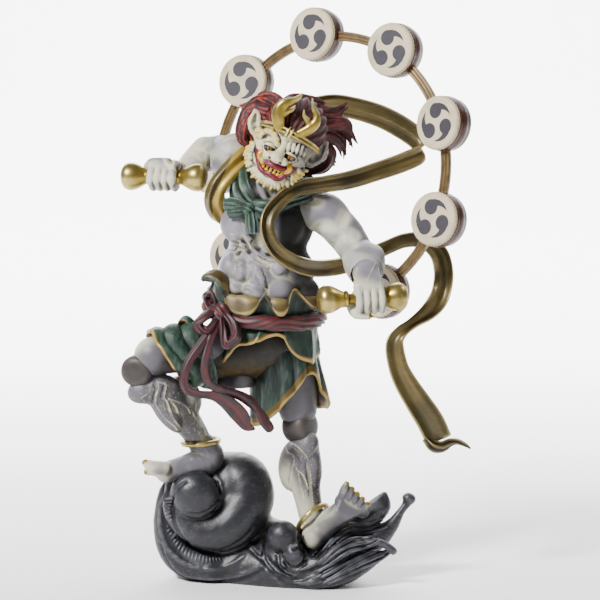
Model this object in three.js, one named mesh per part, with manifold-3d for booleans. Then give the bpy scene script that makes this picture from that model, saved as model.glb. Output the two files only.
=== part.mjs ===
// Raijin, the thunder god: a painted plastic figure about 18 cm tall, on a snail-shaped thundercloud.
// Millimetres, +Z up. The viewer stands at -Y, so +X is the viewer's right. "right" and "left" in
// names are the figure's own. The origin lies on the flat underside of the base.
import * as THREE from "three";
import { mergeVertices } from "three/addons/utils/BufferGeometryUtils.js";
import Module from "manifold-3d";

const wasm = await Module();
wasm.setup();

// Driving dimensions.
const GAP = 0.35; // clearance left between pieces that touch
const FINE = 0.3; // how far a surface may shift while its faces are thinned out
const COARSE = 0.44; // the same on the large plain pieces
const joint = {
  shoulderRight: [-18, 5, 130],
  elbowRight: [-25, 19.5, 132.5],
  wristRight: [-37, 4.5, 127.5],
  shoulderLeft: [5.5, -1, 116],
  elbowLeft: [18.5, -8, 101.5],
  wristLeft: [21.3, -21.5, 95.5],
  hipRight: [-18, -2, 74],
  kneeRight: [-49.6, -15, 68.4],
  ankleRight: [-31, -3.5, 43.5],
  hipLeft: [-4, 2, 75],
  kneeLeft: [0, -2, 49.5],
  ankleLeft: [3.6, -3, 20.5],
};
const HEAD = { centre: [-3.8, -7.3, 137.4], roll: 24, pitch: 14, yaw: -7 };
// The drum ring. Angles are in degrees, and places are counted clockwise from start.
const RING = { centre: [9.5, 25, 125.9], radius: 43.5, azimuth: 33.1, lean: 9.6, start: 142.5 };
const PLACES = 9;
const BARE = 6; // the place without a drum, where the bracket holds the ring
const DRUM = { radius: 8.3, belly: 8.7, depth: 7.4, turns: [27, 35.5, 34, 43.5, 37, 36, 0, 30, 33] };
const ROD = { halfWidth: 1.6, radius: 42.3 };
const CLUB = { bulb: 4.3, shaft: 1.5 };
const ANKLET = { radius: 5.1, wire: 0.85 };
const BELT = { centre: [-11, 0], across: 16.5, deep: 14.5 };
const CLOTH = 1.1; // thickness of moulded cloth

// Every form is made this much larger while it serves as a clearance cutter.
let swell = 0;

const vec = (p) => new THREE.Vector3(p[0], p[1], p[2]);
const radians = THREE.MathUtils.degToRad;
const mix = (a, b, f) => a + (b - a) * f;
const along = (a, b, f, d = [0, 0, 0]) => a.map((x, i) => mix(x, b[i], f) + d[i]);

function solid(geometry) {
  const bare = geometry.clone();
  bare.deleteAttribute("normal");
  bare.deleteAttribute("uv");
  const merged = mergeVertices(bare, 1e-4);
  const mesh = { numProp: 3, vertProperties: merged.attributes.position.array };
  mesh.triVerts = new Uint32Array(merged.index.array);
  return new wasm.Manifold(new wasm.Mesh(mesh));
}

const fuse = (solids) => solids.reduce((all, next) => all.add(next));

// The largest of the bodies that a cut leaves.
const largest = (cut) => cut.decompose().sort((a, b) => b.volume() - a.volume())[0];

// A surface with fewer faces: each step moves one vertex onto a neighbour, where no face around it
// turns over or shifts by more than the tolerance, and none leaves the floor.
function thinned({ vertProperties, triVerts }, tolerance) {
  const points = [];
  for (let i = 0; i < vertProperties.length; i += 3) points.push(vec(vertProperties.slice(i, i + 3)));
  const faces = [];
  for (let i = 0; i < triVerts.length; i += 3) faces.push([...triVerts.slice(i, i + 3)]);
  const around = points.map(() => new Set());
  faces.forEach((face, f) => face.forEach((v) => around[v].add(f)));
  const shift = points.map(() => 0);
  const normal = ([a, b, c]) => points[b].clone().sub(points[a]).cross(points[c].clone().sub(points[a]));
  const neighbours = (v) => new Set([...around[v]].flatMap((f) => faces[f]).filter((u) => u !== v));
  const lifts = (v, u) => points[v].z < 1e-3 && points[u].z > 1e-3;
  const cost = (v, u, limit) => {
    if (lifts(v, u)) return Infinity;
    const step = points[u].clone().sub(points[v]);
    let most = shift[v];
    for (const f of around[v]) {
      const old = normal(faces[f]);
      most = Math.max(most, shift[v] + Math.abs(old.clone().normalize().dot(step)));
      if (most > limit) return Infinity;
      if (faces[f].includes(u)) continue;
      const now = normal(faces[f].map((w) => (w === v ? u : w)));
      if (now.length() < 0.01 || now.dot(old) < 0.7 * now.length() * old.length()) return Infinity;
    }
    return most;
  };
  for (const limit of [0.2, 0.5, 1, 1].map((share) => share * tolerance))
    for (let v = 0; v < points.length; v++) {
      const near = neighbours(v);
      const ways = [...near].map((w) => [cost(v, w, limit), w]).sort((a, b) => a[0] - b[0]);
      const [best, u] = ways[0] ?? [Infinity];
      if (best === Infinity || [...neighbours(u)].filter((w) => near.has(w)).length !== 2) continue;
      for (const f of around[v]) {
        if (faces[f].includes(u)) faces[f].forEach((w) => w !== v && around[w].delete(f));
        else {
          faces[f] = faces[f].map((w) => (w === v ? u : w));
          around[u].add(f);
        }
      }
      around[v] = new Set();
      shift[u] = Math.max(shift[u], best);
    }
  const kept = [...new Set(around.flatMap((set) => [...set]))];
  const geometry = new THREE.BufferGeometry();
  geometry.setAttribute("position", new THREE.Float32BufferAttribute(points.flatMap((p) => p.toArray()), 3));
  geometry.setIndex(kept.flatMap((f) => faces[f]));
  return mergeVertices(geometry.toNonIndexed());
}

// A skin over rings of points. Each end closes on a pole, or the last ring joins the first.
function skin(rings, joined = false) {
  const sides = rings[0].length;
  const points = rings.flat().flatMap((p) => [p.x, p.y, p.z]);
  const faces = [];
  const spans = joined ? rings.length : rings.length - 1;
  for (let i = 0; i < spans; i++)
    for (let j = 0; j < sides; j++) {
      const a = i * sides + j;
      const b = i * sides + ((j + 1) % sides);
      const c = ((i + 1) % rings.length) * sides + j;
      const d = ((i + 1) % rings.length) * sides + ((j + 1) % sides);
      faces.push(a, b, d, a, d, c);
    }
  if (!joined)
    for (const [at, turn] of [[0, 1], [rings.length - 1, 0]]) {
      const pole = rings[at].reduce((sum, p) => sum.add(p), vec([0, 0, 0])).divideScalar(sides);
      const middle = points.length / 3;
      points.push(pole.x, pole.y, pole.z);
      for (let j = 0; j < sides; j++) {
        const a = at * sides + j;
        const b = at * sides + ((j + 1) % sides);
        faces.push(...(turn ? [middle, b, a] : [middle, a, b]));
      }
    }
  const geometry = new THREE.BufferGeometry();
  geometry.setAttribute("position", new THREE.Float32BufferAttribute(points, 3));
  geometry.setIndex(faces);
  const made = solid(geometry);
  if (made.volume() > 0) return made;
  for (let i = 0; i < faces.length; i += 3) [faces[i + 1], faces[i + 2]] = [faces[i + 2], faces[i + 1]];
  geometry.setIndex(faces);
  return solid(geometry);
}

// An ellipsoid with three half-axes, turned by degrees about X, Y and Z.
function ball(centre, half, turn = [0, 0, 0], detail = 1) {
  const geometry = new THREE.IcosahedronGeometry(1, detail);
  geometry.scale(half[0] + swell, half[1] + swell, half[2] + swell);
  geometry.rotateX(radians(turn[0]));
  geometry.rotateY(radians(turn[1]));
  geometry.rotateZ(radians(turn[2]));
  geometry.translate(...centre);
  return solid(geometry);
}

// A smooth value through evenly spaced stations, at t from 0 to 1.
function through(values, t) {
  const at = t * (values.length - 1);
  const i = Math.min(Math.floor(at), values.length - 2);
  const f = at - i;
  const [a, b, c, d] = [-1, 0, 1, 2].map((k) => values[Math.min(Math.max(i + k, 0), values.length - 1)]);
  const [first, second, third] = [c - a, 2 * a - 5 * b + 4 * c - d, 3 * b - a - 3 * c + d];
  return b + 0.5 * (first * f + second * f ** 2 + third * f ** 3);
}

// A smooth value round a circle, through evenly spaced stations, at an angle in radians.
function compass(values, angle) {
  const n = values.length;
  const at = ((angle / (2 * Math.PI)) % 1 + 1) * n;
  const row = [0, 1, 2, 3].map((k) => values[(Math.floor(at) + k - 1 + n) % n]);
  return through([row[0], row[1], row[2], row[3]], (1 + (at % 1)) / 3);
}

// A round limb with rounded ends through stations [x, y, z, radius].
function limb(stations, { sides = 6, steps = stations.length, flat = 1, round = [1, 1] } = {}) {
  const curve = new THREE.CatmullRomCurve3(stations.map(vec), false, "catmullrom", 0.5);
  const rings = [];
  let side = null;
  const ring = (t, pull, share) => {
    const centre = curve.getPoint(t);
    const tangent = curve.getTangent(t);
    if (!side) side = vec(Math.abs(tangent.z) > 0.9 ? [1, 0, 0] : [0, 0, 1]);
    side = side.clone().addScaledVector(tangent, -side.dot(tangent)).normalize();
    const other = tangent.clone().cross(side);
    const r = through(stations.map((s) => s[3]), t);
    centre.addScaledVector(tangent, pull * (r + swell));
    rings.push(Array.from({ length: sides }, (_, j) => {
      const a = (2 * Math.PI * j) / sides;
      return centre.clone()
        .addScaledVector(side, (r + swell) * share * Math.cos(a))
        .addScaledVector(other, (r * flat + swell) * share * Math.sin(a));
    }));
  };
  if (round[0]) ring(0, -0.8, 0.55);
  for (let i = 0; i <= steps; i++) ring(i / steps, 0, 1);
  if (round[1]) ring(1, 0.8, 0.55);
  return skin(rings);
}

// A band along a path: outline(t) gives the section as [across, through] points, and wide(t) the
// direction that "across" takes.
function band(points, outline, wide, { steps = 3 * points.length, joined = false } = {}) {
  const curve = new THREE.CatmullRomCurve3(points.map(vec), joined, "catmullrom", 0.5);
  const rings = [];
  for (let i = 0; i < (joined ? steps : steps + 1); i++) {
    const t = i / steps;
    const tangent = curve.getTangent(t);
    const across = vec(wide(t)).addScaledVector(tangent, -vec(wide(t)).dot(tangent)).normalize();
    const out = tangent.clone().cross(across);
    const centre = curve.getPoint(t);
    const section = outline(t);
    const reach = [0, 1].map((k) => Math.max(...section.map((point) => Math.abs(point[k]))));
    const [growU, growV] = reach.map((most) => 1 + swell / most);
    rings.push(section.map(([u, v]) => centre.clone()
      .addScaledVector(across, u * growU)
      .addScaledVector(out, v * growV)));
  }
  return skin(rings, joined);
}

// A round piece turned about its own Z, which runs through its middle. The profile goes from the
// lower pole to the upper one as [radius, height].
function turned(profile, segments, matrix) {
  const last = profile.length - 1;
  const points = profile.map(([r, h], i) => {
    if (i === 0 || i === last) return new THREE.Vector2(0, h + (i ? swell : -swell));
    const [before, after] = [profile[i - 1], profile[i + 1]];
    const run = new THREE.Vector2(after[0] - before[0], after[1] - before[1]).setLength(1.3 * swell);
    return new THREE.Vector2(r + run.y, h - run.x);
  });
  return solid(new THREE.LatheGeometry(points, segments).rotateX(Math.PI / 2).applyMatrix4(matrix));
}

// A matrix that stands local Z along a direction at a place.
function stand(place, direction) {
  const turn = new THREE.Quaternion().setFromUnitVectors(vec([0, 0, 1]), vec(direction).normalize());
  return new THREE.Matrix4().compose(vec(place), turn, vec([1, 1, 1]));
}

// Cloth that goes round an axis: profile(angle) gives [out, up] points of the sheet's middle line,
// which is thickened and carried by place(angle, out, up).
function garment(profile, place, { turns = 24, thick = CLOTH } = {}) {
  const rings = [];
  for (let i = 0; i < turns; i++) {
    const angle = (2 * Math.PI * i) / turns;
    const line = profile(angle).map(([r, h]) => new THREE.Vector2(r, h));
    const normals = line.map((_, k) => {
      const d = line[Math.min(k + 1, line.length - 1)].clone().sub(line[Math.max(k - 1, 0)]).normalize();
      return new THREE.Vector2(-d.y, d.x).multiplyScalar(thick / 2 + swell);
    });
    const ends = [[0, 1], [line.length - 1, line.length - 2]];
    for (const [end, inner] of ends) line[end].add(line[end].clone().sub(line[inner]).setLength(swell));
    const one = line.map((p, k) => p.clone().add(normals[k]));
    const two = line.map((p, k) => p.clone().sub(normals[k])).reverse();
    rings.push([...one, ...two].map((p) => place(angle, p.x, p.y)));
  }
  return skin(rings, true);
}

const headMatrix = new THREE.Matrix4()
  .makeRotationY(radians(HEAD.roll))
  .multiply(new THREE.Matrix4().makeRotationX(radians(HEAD.pitch)))
  .multiply(new THREE.Matrix4().makeRotationZ(radians(HEAD.yaw)));
// A point given in the head's own axes: x to the viewer's right, y to the back, z up from the eyes.
const onHead = ([x, y, z, ...rest]) => [
  ...vec([x, y, z]).applyMatrix4(headMatrix).add(vec(HEAD.centre)).toArray(),
  ...rest,
];
const headTurn = (() => {
  const e = new THREE.Euler().setFromRotationMatrix(headMatrix, "ZYX");
  return [e.x, e.y, e.z].map(THREE.MathUtils.radToDeg);
})();
const headBall = (centre, half, detail) => ball(onHead(centre), half, headTurn, detail);
const headLimb = (stations, options) => limb(stations.map(onHead), options);

const YOKE = { sides: 7, steps: 2 };
function torso() {
  return fuse([
    ball([-9.5, 2, 112], [14, 10.8, 12.2]),
    ball([-10.5, -0.5, 97], [15, 12.6, 11.4]),
    ball([-10.5, 1, 82], [14.2, 11.8, 10.4]),
    ball([-17.6, -6, 112.5], [6.4, 5.6, 6]),
    ball([-6.5, -7.2, 111.8], [7.2, 5.8, 6]),
    ball([-19.6, -7.8, 97.6], [4.6, 4.6, 5.4]),
    ball([-10.8, -10.8, 97.6], [6, 4.8, 6]),
    ball([-4, -8.8, 97.6], [5, 5, 5.6]),
    ball([-14, -9.6, 91.6], [6.6, 4.8, 4]),
    limb([[-19.5, 5.5, 126, 5.8], [-9, 7, 123.5, 7.2], [2.5, 2.5, 117, 6]], YOKE),
    limb([[-10, 3.5, 119, 7], [-8.4, -4.6, 124.6, 5.2], [-7, -5.4, 130.6, 5]], { ...YOKE, round: [0, 0] }),
  ]);
}

const BEARD = [[-9.2, -4, -1.4], [-9.4, -4.6, -4.8], [-8, -5.6, -8], [-5, -6.8, -10.2], [-1.4, -7.4, -11.2],
  [2.4, -7.6, -11.2], [5.8, -7, -9.2], [7.8, -5.6, -6.2], [8.6, -4.6, -2.8]];
function head() {
  const ear = (s, tip) => headLimb([
    [s * 7.8, 0.5, -1, 2.5], [...along([s * 8, 1, 0], tip, 0.5), 2.3], [...tip, 0.3],
  ], { sides: 5, steps: 2, flat: 0.5, round: [0, 0] });
  const brow = (s) => headLimb([[s * 1.4, -9, 1.4, 1.2], [s * 4.4, -8.8, 3.2, 1.7], [s * 8, -5.6, 2, 1.1]],
    { sides: 5, steps: 2, round: [0, 0] });
  const lips = [
    [-7, -6.6, -3.4, 1], [-4, -9.6, -5.4, 1.3], [1.8, -10, -6.8, 1.5],
    [5, -8, -4.8, 1.2], [6, -6, -2.6, 0.8],
  ];
  return fuse([
    headBall([0, 0, 1.4], [8.6, 8.8, 8.4]),
    headBall([-0.4, -3, -5.4], [8.6, 6.6, 5.8]),
    headBall([-0.4, -7, -3], [5.6, 3.6, 3.6], 0),
    headBall([0, -10, -1.2], [2.4, 2.3, 1.9], 0),
    headLimb(lips, { sides: 5, steps: 4, round: [0, 0] }),
    ear(-1, [-14, 1.5, 5]),
    ear(1, [11.6, 1.5, 6.2]),
    brow(-1),
    brow(1),
    ...BEARD.map((p) => headBall(p, [1.9, 1.7, 2.3], 0)),
  ]);
}

function crown() {
  const reach = [-100, 80];
  const steps = 8;
  const arc = Array.from({ length: steps + 1 }, (_, i) => {
    const a = radians(mix(...reach, i / steps));
    return onHead([9.6 * Math.sin(a), 0.2 - 9.8 * Math.cos(a), 2.8 + 4 * Math.cos(a)]);
  });
  const up = vec([0, -0.2, 1]).transformDirection(headMatrix).toArray();
  const section = [[-0.9, -0.5], [0.9, -0.5], [0.9, 0.6], [-0.9, 0.6]];
  const tip = { sides: 5, round: [0, 0] };
  const flame = (outer, inner) => fuse([
    headLimb(outer, { ...tip, steps: 4 }),
    headLimb(inner, { ...tip, steps: 2 }),
  ]);
  return fuse([
    band(arc, () => section, () => up, { steps }),
    flame([[-2.4, -9.6, 6.6, 1.3], [-5.8, -9.2, 9.4, 1.7], [-6.6, -8.2, 12.6, 1.6], [-5, -7.2, 15.6, 1.1],
      [-2.8, -6.4, 18.4, 0.2]], [[-5.4, -8.6, 10, 1.2], [-3.2, -8.4, 11.4, 0.9], [-2, -8, 13.8, 0.2]]),
    flame([[2.4, -9.4, 6.6, 1.2], [5, -8.8, 9.4, 1.5], [5, -8, 12.6, 1.4], [2.8, -7.2, 15.4, 1],
      [0.4, -6.4, 18, 0.2]], [[4.4, -8.6, 9.8, 1.1], [1.4, -8.2, 11, 0.9], [-0.2, -8, 13.6, 0.2]]),
  ]);
}

// Locks of hair as stations [x, y, z, radius], from the crown of the head outwards.
const LOCKS = [
  [[-9, -4, 145.5, 3], [-14.4, -2, 146.8, 2.7], [-17, -3, 142, 2.3], [-17.2, -3.4, 138.4, 1.7],
    [-15, -3.6, 135.6, 0.3]],
  [[-8, -2, 146, 3.2], [-13, -1, 148.8, 2.4], [-17.6, -0.6, 148.4, 0.3]],
  [[-5, -2, 146, 3.4], [-8, -1, 149.8, 2.8], [-11.6, 0, 150.4, 2], [-13.6, 1, 148, 0.3]],
  [[-3, 0, 145, 4], [-2, 0, 149, 2.6], [4, 1.5, 148.8, 2], [8.6, 3, 147.6, 0.3]],
  [[1, 1, 144, 3.8], [6, 2, 145.6, 2.8], [10.8, 3.5, 145.8, 1.9], [14, 5, 147.6, 0.3]],
  [[3, 1, 141, 3.8], [9, 2.6, 142.6, 2.8], [14, 5, 141.6, 2.2], [16.4, 7, 135.4, 0.3]],
  [[4, 1, 138.6, 3.8], [9, 3, 138.4, 2.6], [12.4, 5, 136.6, 2], [13.8, 6.4, 132.4, 0.3]],
  [[4, 2, 135.6, 3.6], [7.6, 3.4, 133.8, 2.6], [10.4, 5, 129.8, 0.3]],
  [[2, 3, 133, 3.4], [4.6, 4, 130.6, 2.2], [3.4, 4.6, 127, 0.3]],
  [[-8, 3, 142, 3.6], [-12.4, 3.6, 142.6, 2.6], [-14.6, 4, 140, 1.8], [-14.4, 4.4, 137, 0.3]],
  [[-6, 4, 143, 4], [-8, 7.4, 142, 3.2], [-8.6, 9.2, 137, 2.2], [-9, 9.8, 132, 0.3]],
  [[-1, 5, 144, 4.4], [-1, 10.6, 141.6, 3.4], [-2, 13, 136, 2.4], [-2.4, 13.6, 130, 0.3]],
  [[4, 5, 141, 4], [6.4, 9, 138.8, 3], [6.6, 11.4, 133.4, 2.2], [5, 12, 128, 0.3]],
];
const hair = () => fuse([
  headBall([0, 1.8, 5.4], [9.8, 9.8, 9.4]),
  ...LOCKS.map((lock) => limb(lock, { sides: 5, steps: lock.length - 1, round: [0, 0] })),
]);

function neckCloth() {
  const loop = [
    [-15.5, -12.5, 118], [-18.6, -9.4, 123], [-18.2, -0.6, 128], [-13, 12, 128.4], [-3, 12.6, 124.6],
    [4.6, 5, 122.4], [3, -6, 120], [-6, -12.6, 118],
  ];
  const folds = [[-3.4, 0.2], [-1.2, 1.1], [0.8, 0.5], [2.6, 1], [3.4, 0], [0, -0.9]];
  const slope = (t) => [Math.sin(2 * Math.PI * t) * 0.6, 0, 1];
  const flap = { sides: 6, steps: 2, flat: 0.6 };
  return fuse([
    band(loop, () => folds, slope, { steps: 16, joined: true }),
    limb([[-16, -14, 118.4, 2.2], [-19, -12.8, 118.8, 2.9], [-21.6, -11, 117.8, 1.6]], flap),
    limb([[-15.6, -14.2, 118, 2.2], [-11.8, -14.6, 117.4, 2.8], [-8.2, -13.8, 117.8, 1.8]], flap),
    limb([[-15.4, -14.4, 118, 1.8], [-14.6, -15.4, 114.6, 2.2], [-14.4, -15, 111.6, 1.4]], flap),
  ]);
}

const ARM = { sides: 7, steps: 3 };
const upperArmRight = () => fuse([
  limb([[...joint.shoulderRight, 6], [-22.5, 11, 131, 6.4], [...joint.elbowRight, 5]], YOKE),
  ball([-21.4, 4.8, 132.4], [5.6, 6.2, 7.4], [0, 24, 0]),
]);
const forearmRight = () => limb([
  [...joint.elbowRight, 5], along(joint.elbowRight, joint.wristRight, 0.42, [0, 0, 1]).concat(5.2),
  along(joint.elbowRight, joint.wristRight, 0.85).concat(3.6), [...joint.wristRight, 3.2],
], ARM);
const upperArmLeft = () => fuse([
  ball([6.6, -1, 115.6], [8.3, 6.8, 6.2], [0, 8, 0]),
  limb([[8, -1.2, 114.6, 5.8], [13.4, -3.6, 109.6, 5.8], [17.4, -6.6, 104, 5.2]], { sides: 8, steps: 2 }),
]);
const forearmLeft = () => limb([
  [...joint.elbowLeft, 4.6], along(joint.elbowLeft, joint.wristLeft, 0.5, [0, 0, 0.6]).concat(5.9),
  [...joint.wristLeft, 4.9],
], { sides: 8, steps: 3 });

// A fist round a club: a section that goes round the shaft, dented between the four fingers.
const FIST = { finger: 2.45, radius: 4.5, dent: 0.17, sides: 10 };
function fist(centre, across, front, down, thumb) {
  const stations = [-4, -3, -2, -1, 0, 1, 2, 3, 4];
  const rings = stations.map((k) => {
    const valley = Math.abs(k) === 4 ? 1.5 : k % 2 === 0 ? 1 : 0;
    return Array.from({ length: FIST.sides }, (_, j) => {
      const a = (2 * Math.PI * j) / FIST.sides;
      const ahead = 0.35 + 0.65 * Math.max(0, Math.cos(0.75 * (a > Math.PI ? a - 2 * Math.PI : a)));
      const r = FIST.radius * (1 + 0.06 * Math.cos(4 * a)) * (1 - FIST.dent * valley * ahead) + swell;
      return vec(centre)
        .addScaledVector(vec(across), (k * FIST.finger) / 2)
        .addScaledVector(vec(front), r * Math.cos(a))
        .addScaledVector(vec(down), r * Math.sin(a));
    });
  });
  return fuse([skin(rings), limb(thumb, { sides: 5, steps: 2 })]);
}
const clubEnds = {
  right: [[-55, 2, 126.4], [-28.7, -5, 126.6]],
  left: [[5.2, -28.6, 92], [32.6, -23.6, 92.4]],
};
const clubAxis = (side) => vec(clubEnds[side][1]).sub(vec(clubEnds[side][0])).normalize().toArray();
const handRight = () => fist([-41.6, -1.2, 126.6], clubAxis("right"), [-0.26, -0.96, 0], [0, 0, -1],
  [[-46.4, 1.5, 129.4, 1.6], [-45, -2, 131, 1.6], [-40.6, -3, 131.4, 1.1]]);
const handLeft = () => fist([20.8, -26.4, 92.4], clubAxis("left"), [0.17, -0.95, -0.2], [0.05, 0.1, -1],
  [[16, -24, 89.2, 1.7], [17, -27.6, 87.6, 1.7], [21.4, -28.8, 87.2, 1.1]]);

function club(side) {
  const [a, b] = clubEnds[side];
  const half = vec(a).distanceTo(vec(b)) / 2;
  const end = [
    [CLUB.shaft, half - 7.4], [2.6, half - 7], [CLUB.bulb, half - 4], [CLUB.bulb - 0.5, half - 1.4],
    [2.2, half - 0.2], [0, half],
  ];
  const profile = [...end.map(([r, h]) => [r, -h]).reverse(), ...end];
  return turned(profile, 8, stand(along(a, b, 0.5), clubAxis(side)));
}

const thigh = (hip, knee, r) => limb([
  [...hip, 8.5], [...along(hip, knee, 0.55), r + 1.6], [...along(hip, knee, 0.86), r],
], { sides: 8, steps: 2 });
const thighRight = () => thigh(joint.hipRight, along(joint.kneeRight, joint.hipRight, 0, [0, 0, 3.2]), 6);
const thighLeft = () => thigh(joint.hipLeft, joint.kneeLeft, 5.6);
// A knee joint: a thick disc with bevelled rims.
function knee(place, radius, width, axis) {
  const h = width / 2;
  const bevel = 0.9;
  const rim = [[radius - bevel, -h], [radius, bevel - h], [radius, h - bevel], [radius - bevel, h]];
  return turned([[0, -h], ...rim, [0, h]], 10, stand(place, axis));
}
const kneeRight = () => knee(joint.kneeRight, 4.9, 8, [0.35, 1, 0.05]);
const kneeLeft = () => knee(joint.kneeLeft, 5, 9, [1, 0.2, 0]);
const SHIN = { sides: 8, steps: 4 };
const shinRight = () => fuse([
  limb([
    [-48, -15, 62.2, 4], [-42.6, -11.5, 59.4, 6], [-33.6, -5, 48.6, 4.2], [...joint.ankleRight, 3.8],
  ], SHIN),
  ball([-49.3, -15.2, 61.4], [3.7, 3.6, 3.3], [0, 0, 0], 0),
  ball([-36.4, -6.5, 58.4], [5.9, 6, 7], [0, -25, 0]),
]);
const shinLeft = () => fuse([
  limb([[1, -2.6, 44.6, 4.8], [0.8, -1.6, 37, 5.9], [2, -2, 28, 4.6], [...joint.ankleLeft, 3.9]], SHIN),
  ball([-1.6, 0.2, 36], [5.2, 5.6, 8.4], [0, 6, 0]),
]);
function anklet(centre, normal) {
  const place = stand(centre, normal);
  const count = 12;
  const loop = Array.from({ length: count }, (_, i) => {
    const a = (2 * Math.PI * i) / count;
    return vec([ANKLET.radius * Math.cos(a), ANKLET.radius * Math.sin(a), 0]).applyMatrix4(place).toArray();
  });
  const w = ANKLET.wire;
  const section = [[-w, -w], [w, -w], [w, w], [-w, w]].map(([u, v]) => [0.8 * u, 0.8 * v]);
  return band(loop, () => section, () => normal, { steps: count, joined: true });
}
const ankletRight = () => anklet([-30.8, -3.2, 44], [-0.08, 0, 1]);
const ankletLeft = () => anklet([3.9, -3, 19.8], [-0.58, -0.24, 0.77]);

const TOES = [-2, -1, 0, 1, 2];
const TOE = { sides: 4, steps: 2, round: [0, 0] };
const INSTEP = { sides: 7, steps: 4 };
const footRight = () => fuse([
  limb([
    [-30.4, -3.2, 43, 4.2], [-28.6, -2.8, 38.8, 4.9], [-35, -6, 36.6, 3.9], [-41.4, -9, 35.4, 3.4],
  ], INSTEP),
  limb([[-42, -11.4, 37, 2.4], [-45.4, -13.4, 38, 2], [-48, -14.2, 40, 0.3]], TOE),
  ...TOES.slice(1).map((k) => {
    const back = k * 1.9;
    const rise = -0.3 * k;
    const [heel, bend, tip] = [[-41.8, -8, 35.4, 1.9], [-45.4, -9, 35.8, 1.5], [-47.8, -9.4, 36, 0.3]];
    const moved = ([x, y, z, r], up) => [x, y + back, z + up, r];
    return limb([moved(heel, 0), moved(bend, rise), moved(tip, rise)], TOE);
  }),
]);
const footLeft = () => {
  const toe = (k) => along([13.2, -10.6, 26.6], [19.4, -9.4, 23.2], k / 4);
  const tip = (k) => along([14.4, -12.6, 32.8], [21.3, -11.4, 25.8], k / 4);
  return fuse([
    limb([
      [3.8, -2.8, 19.4, 3.9], [5.6, -3.8, 15, 4.2], [9.8, -7, 18.8, 4.4], [14.4, -9.6, 22.6, 4.2],
    ], INSTEP),
    limb([toe(0).concat(2.6), toe(4).concat(2.2)], { sides: 6, steps: 1 }),
    ...[0, 1, 2, 3, 4].map((k) => {
      const bend = along(toe(k), tip(k), 0.6, [-0.3, -0.8, 0]);
      return limb([[...toe(k), 2], [...bend, 1.6 - 0.08 * k], [...tip(k), 0.3]], TOE);
    }),
  ]);
};

// Trouser legs: cloth round the thigh, cut slantwise at the hem.
function trouser(from, to, up, shape) {
  const axis = vec(to).sub(vec(from)).normalize();
  const top = vec(up).addScaledVector(axis, -vec(up).dot(axis)).normalize();
  const side = axis.clone().cross(top);
  const place = (a, out, s) => vec(from).addScaledVector(axis, s)
    .addScaledVector(top, out * Math.cos(a)).addScaledVector(side, out * Math.sin(a));
  return garment(shape, place, { turns: 16 });
}
const trouserRight = () => trouser([-15, -1, 75], [-42, -12, 72.4], [0, 0, 1], (a) => {
  const end = compass([33.6, 29.5, 24, 22.5, 21.5, 23, 25.5, 31], a);
  const wave = compass([0.9, -0.5, 0.8, -0.5, 0.6, -0.4, 0.8, -0.6], a + 0.4);
  const pleat = (f) => 0.8 * Math.sin(13 * f + Math.cos(a));
  return [0.2, 0.5, 0.76, 1].map((f) => [9.8 - 1.4 * f + pleat(f) + f * wave, end * f]);
});
const trouserLeft = () => trouser([-6, 2, 80], [-1.5, 0.6, 55], [0, -1, 0], (a) => {
  const end = compass([18, 26.4, 27, 25, 26, 28, 26.5, 15.5], a);
  const out = compass([10.4, 12.4, 11.6, 10, 10.4, 10.8, 9.4, 9], a);
  return [0.15, 0.5, 0.8, 1].map((f) => [mix(8.6, out, f) + 0.7 * f * Math.cos(7 * a), end * f]);
});

const roundWaist = (angle, out, up) => {
  const e = out / 16;
  const [x, y] = BELT.centre;
  return vec([x + BELT.across * e * Math.sin(angle), y - BELT.deep * e * Math.cos(angle), up]);
};
// The short over-skirt below the belt. Angle 0 is the front, and it grows towards the viewer's right.
const skirt = () => garment((a) => {
  const hem = compass([77.5, 78.6, 73.4, 68.5, 72, 72, 73, 76], a);
  const flare = compass([17.6, 15.8, 14.4, 16.2, 17.8, 18, 17.6, 18], a) + 0.6 * Math.cos(9 * a);
  return [[14.2, 82.6], [14.8, 80.6], [mix(15, flare, 0.6), mix(80.6, hem, 0.5)], [flare, hem]];
}, roundWaist, { turns: 20 });
// The flaring collar above the belt, folded down in front over its gold lining.
const waistCloth = () => garment((a) => {
  const ridge = compass([89.4, 89.6, 89.6, 90, 90, 90, 91, 90.6], a);
  const rim = compass([90.2, 86.6, 88.6, 85.4, 90.6, 90, 91, 90, 91, 90, 91, 90.6, 96.6, 92.6, 90, 86], a);
  const out = compass([18.8, 18.4, 17.4, 16.8, 16.8, 16.8, 18.8, 19], a) + 0.3 * Math.cos(8 * a);
  return [[14.6, 84.2], [15, 87], [15.4, ridge], [mix(15.4, out, 0.7), ridge + 0.9], [out, rim]];
}, roundWaist, { turns: 20 });

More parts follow.
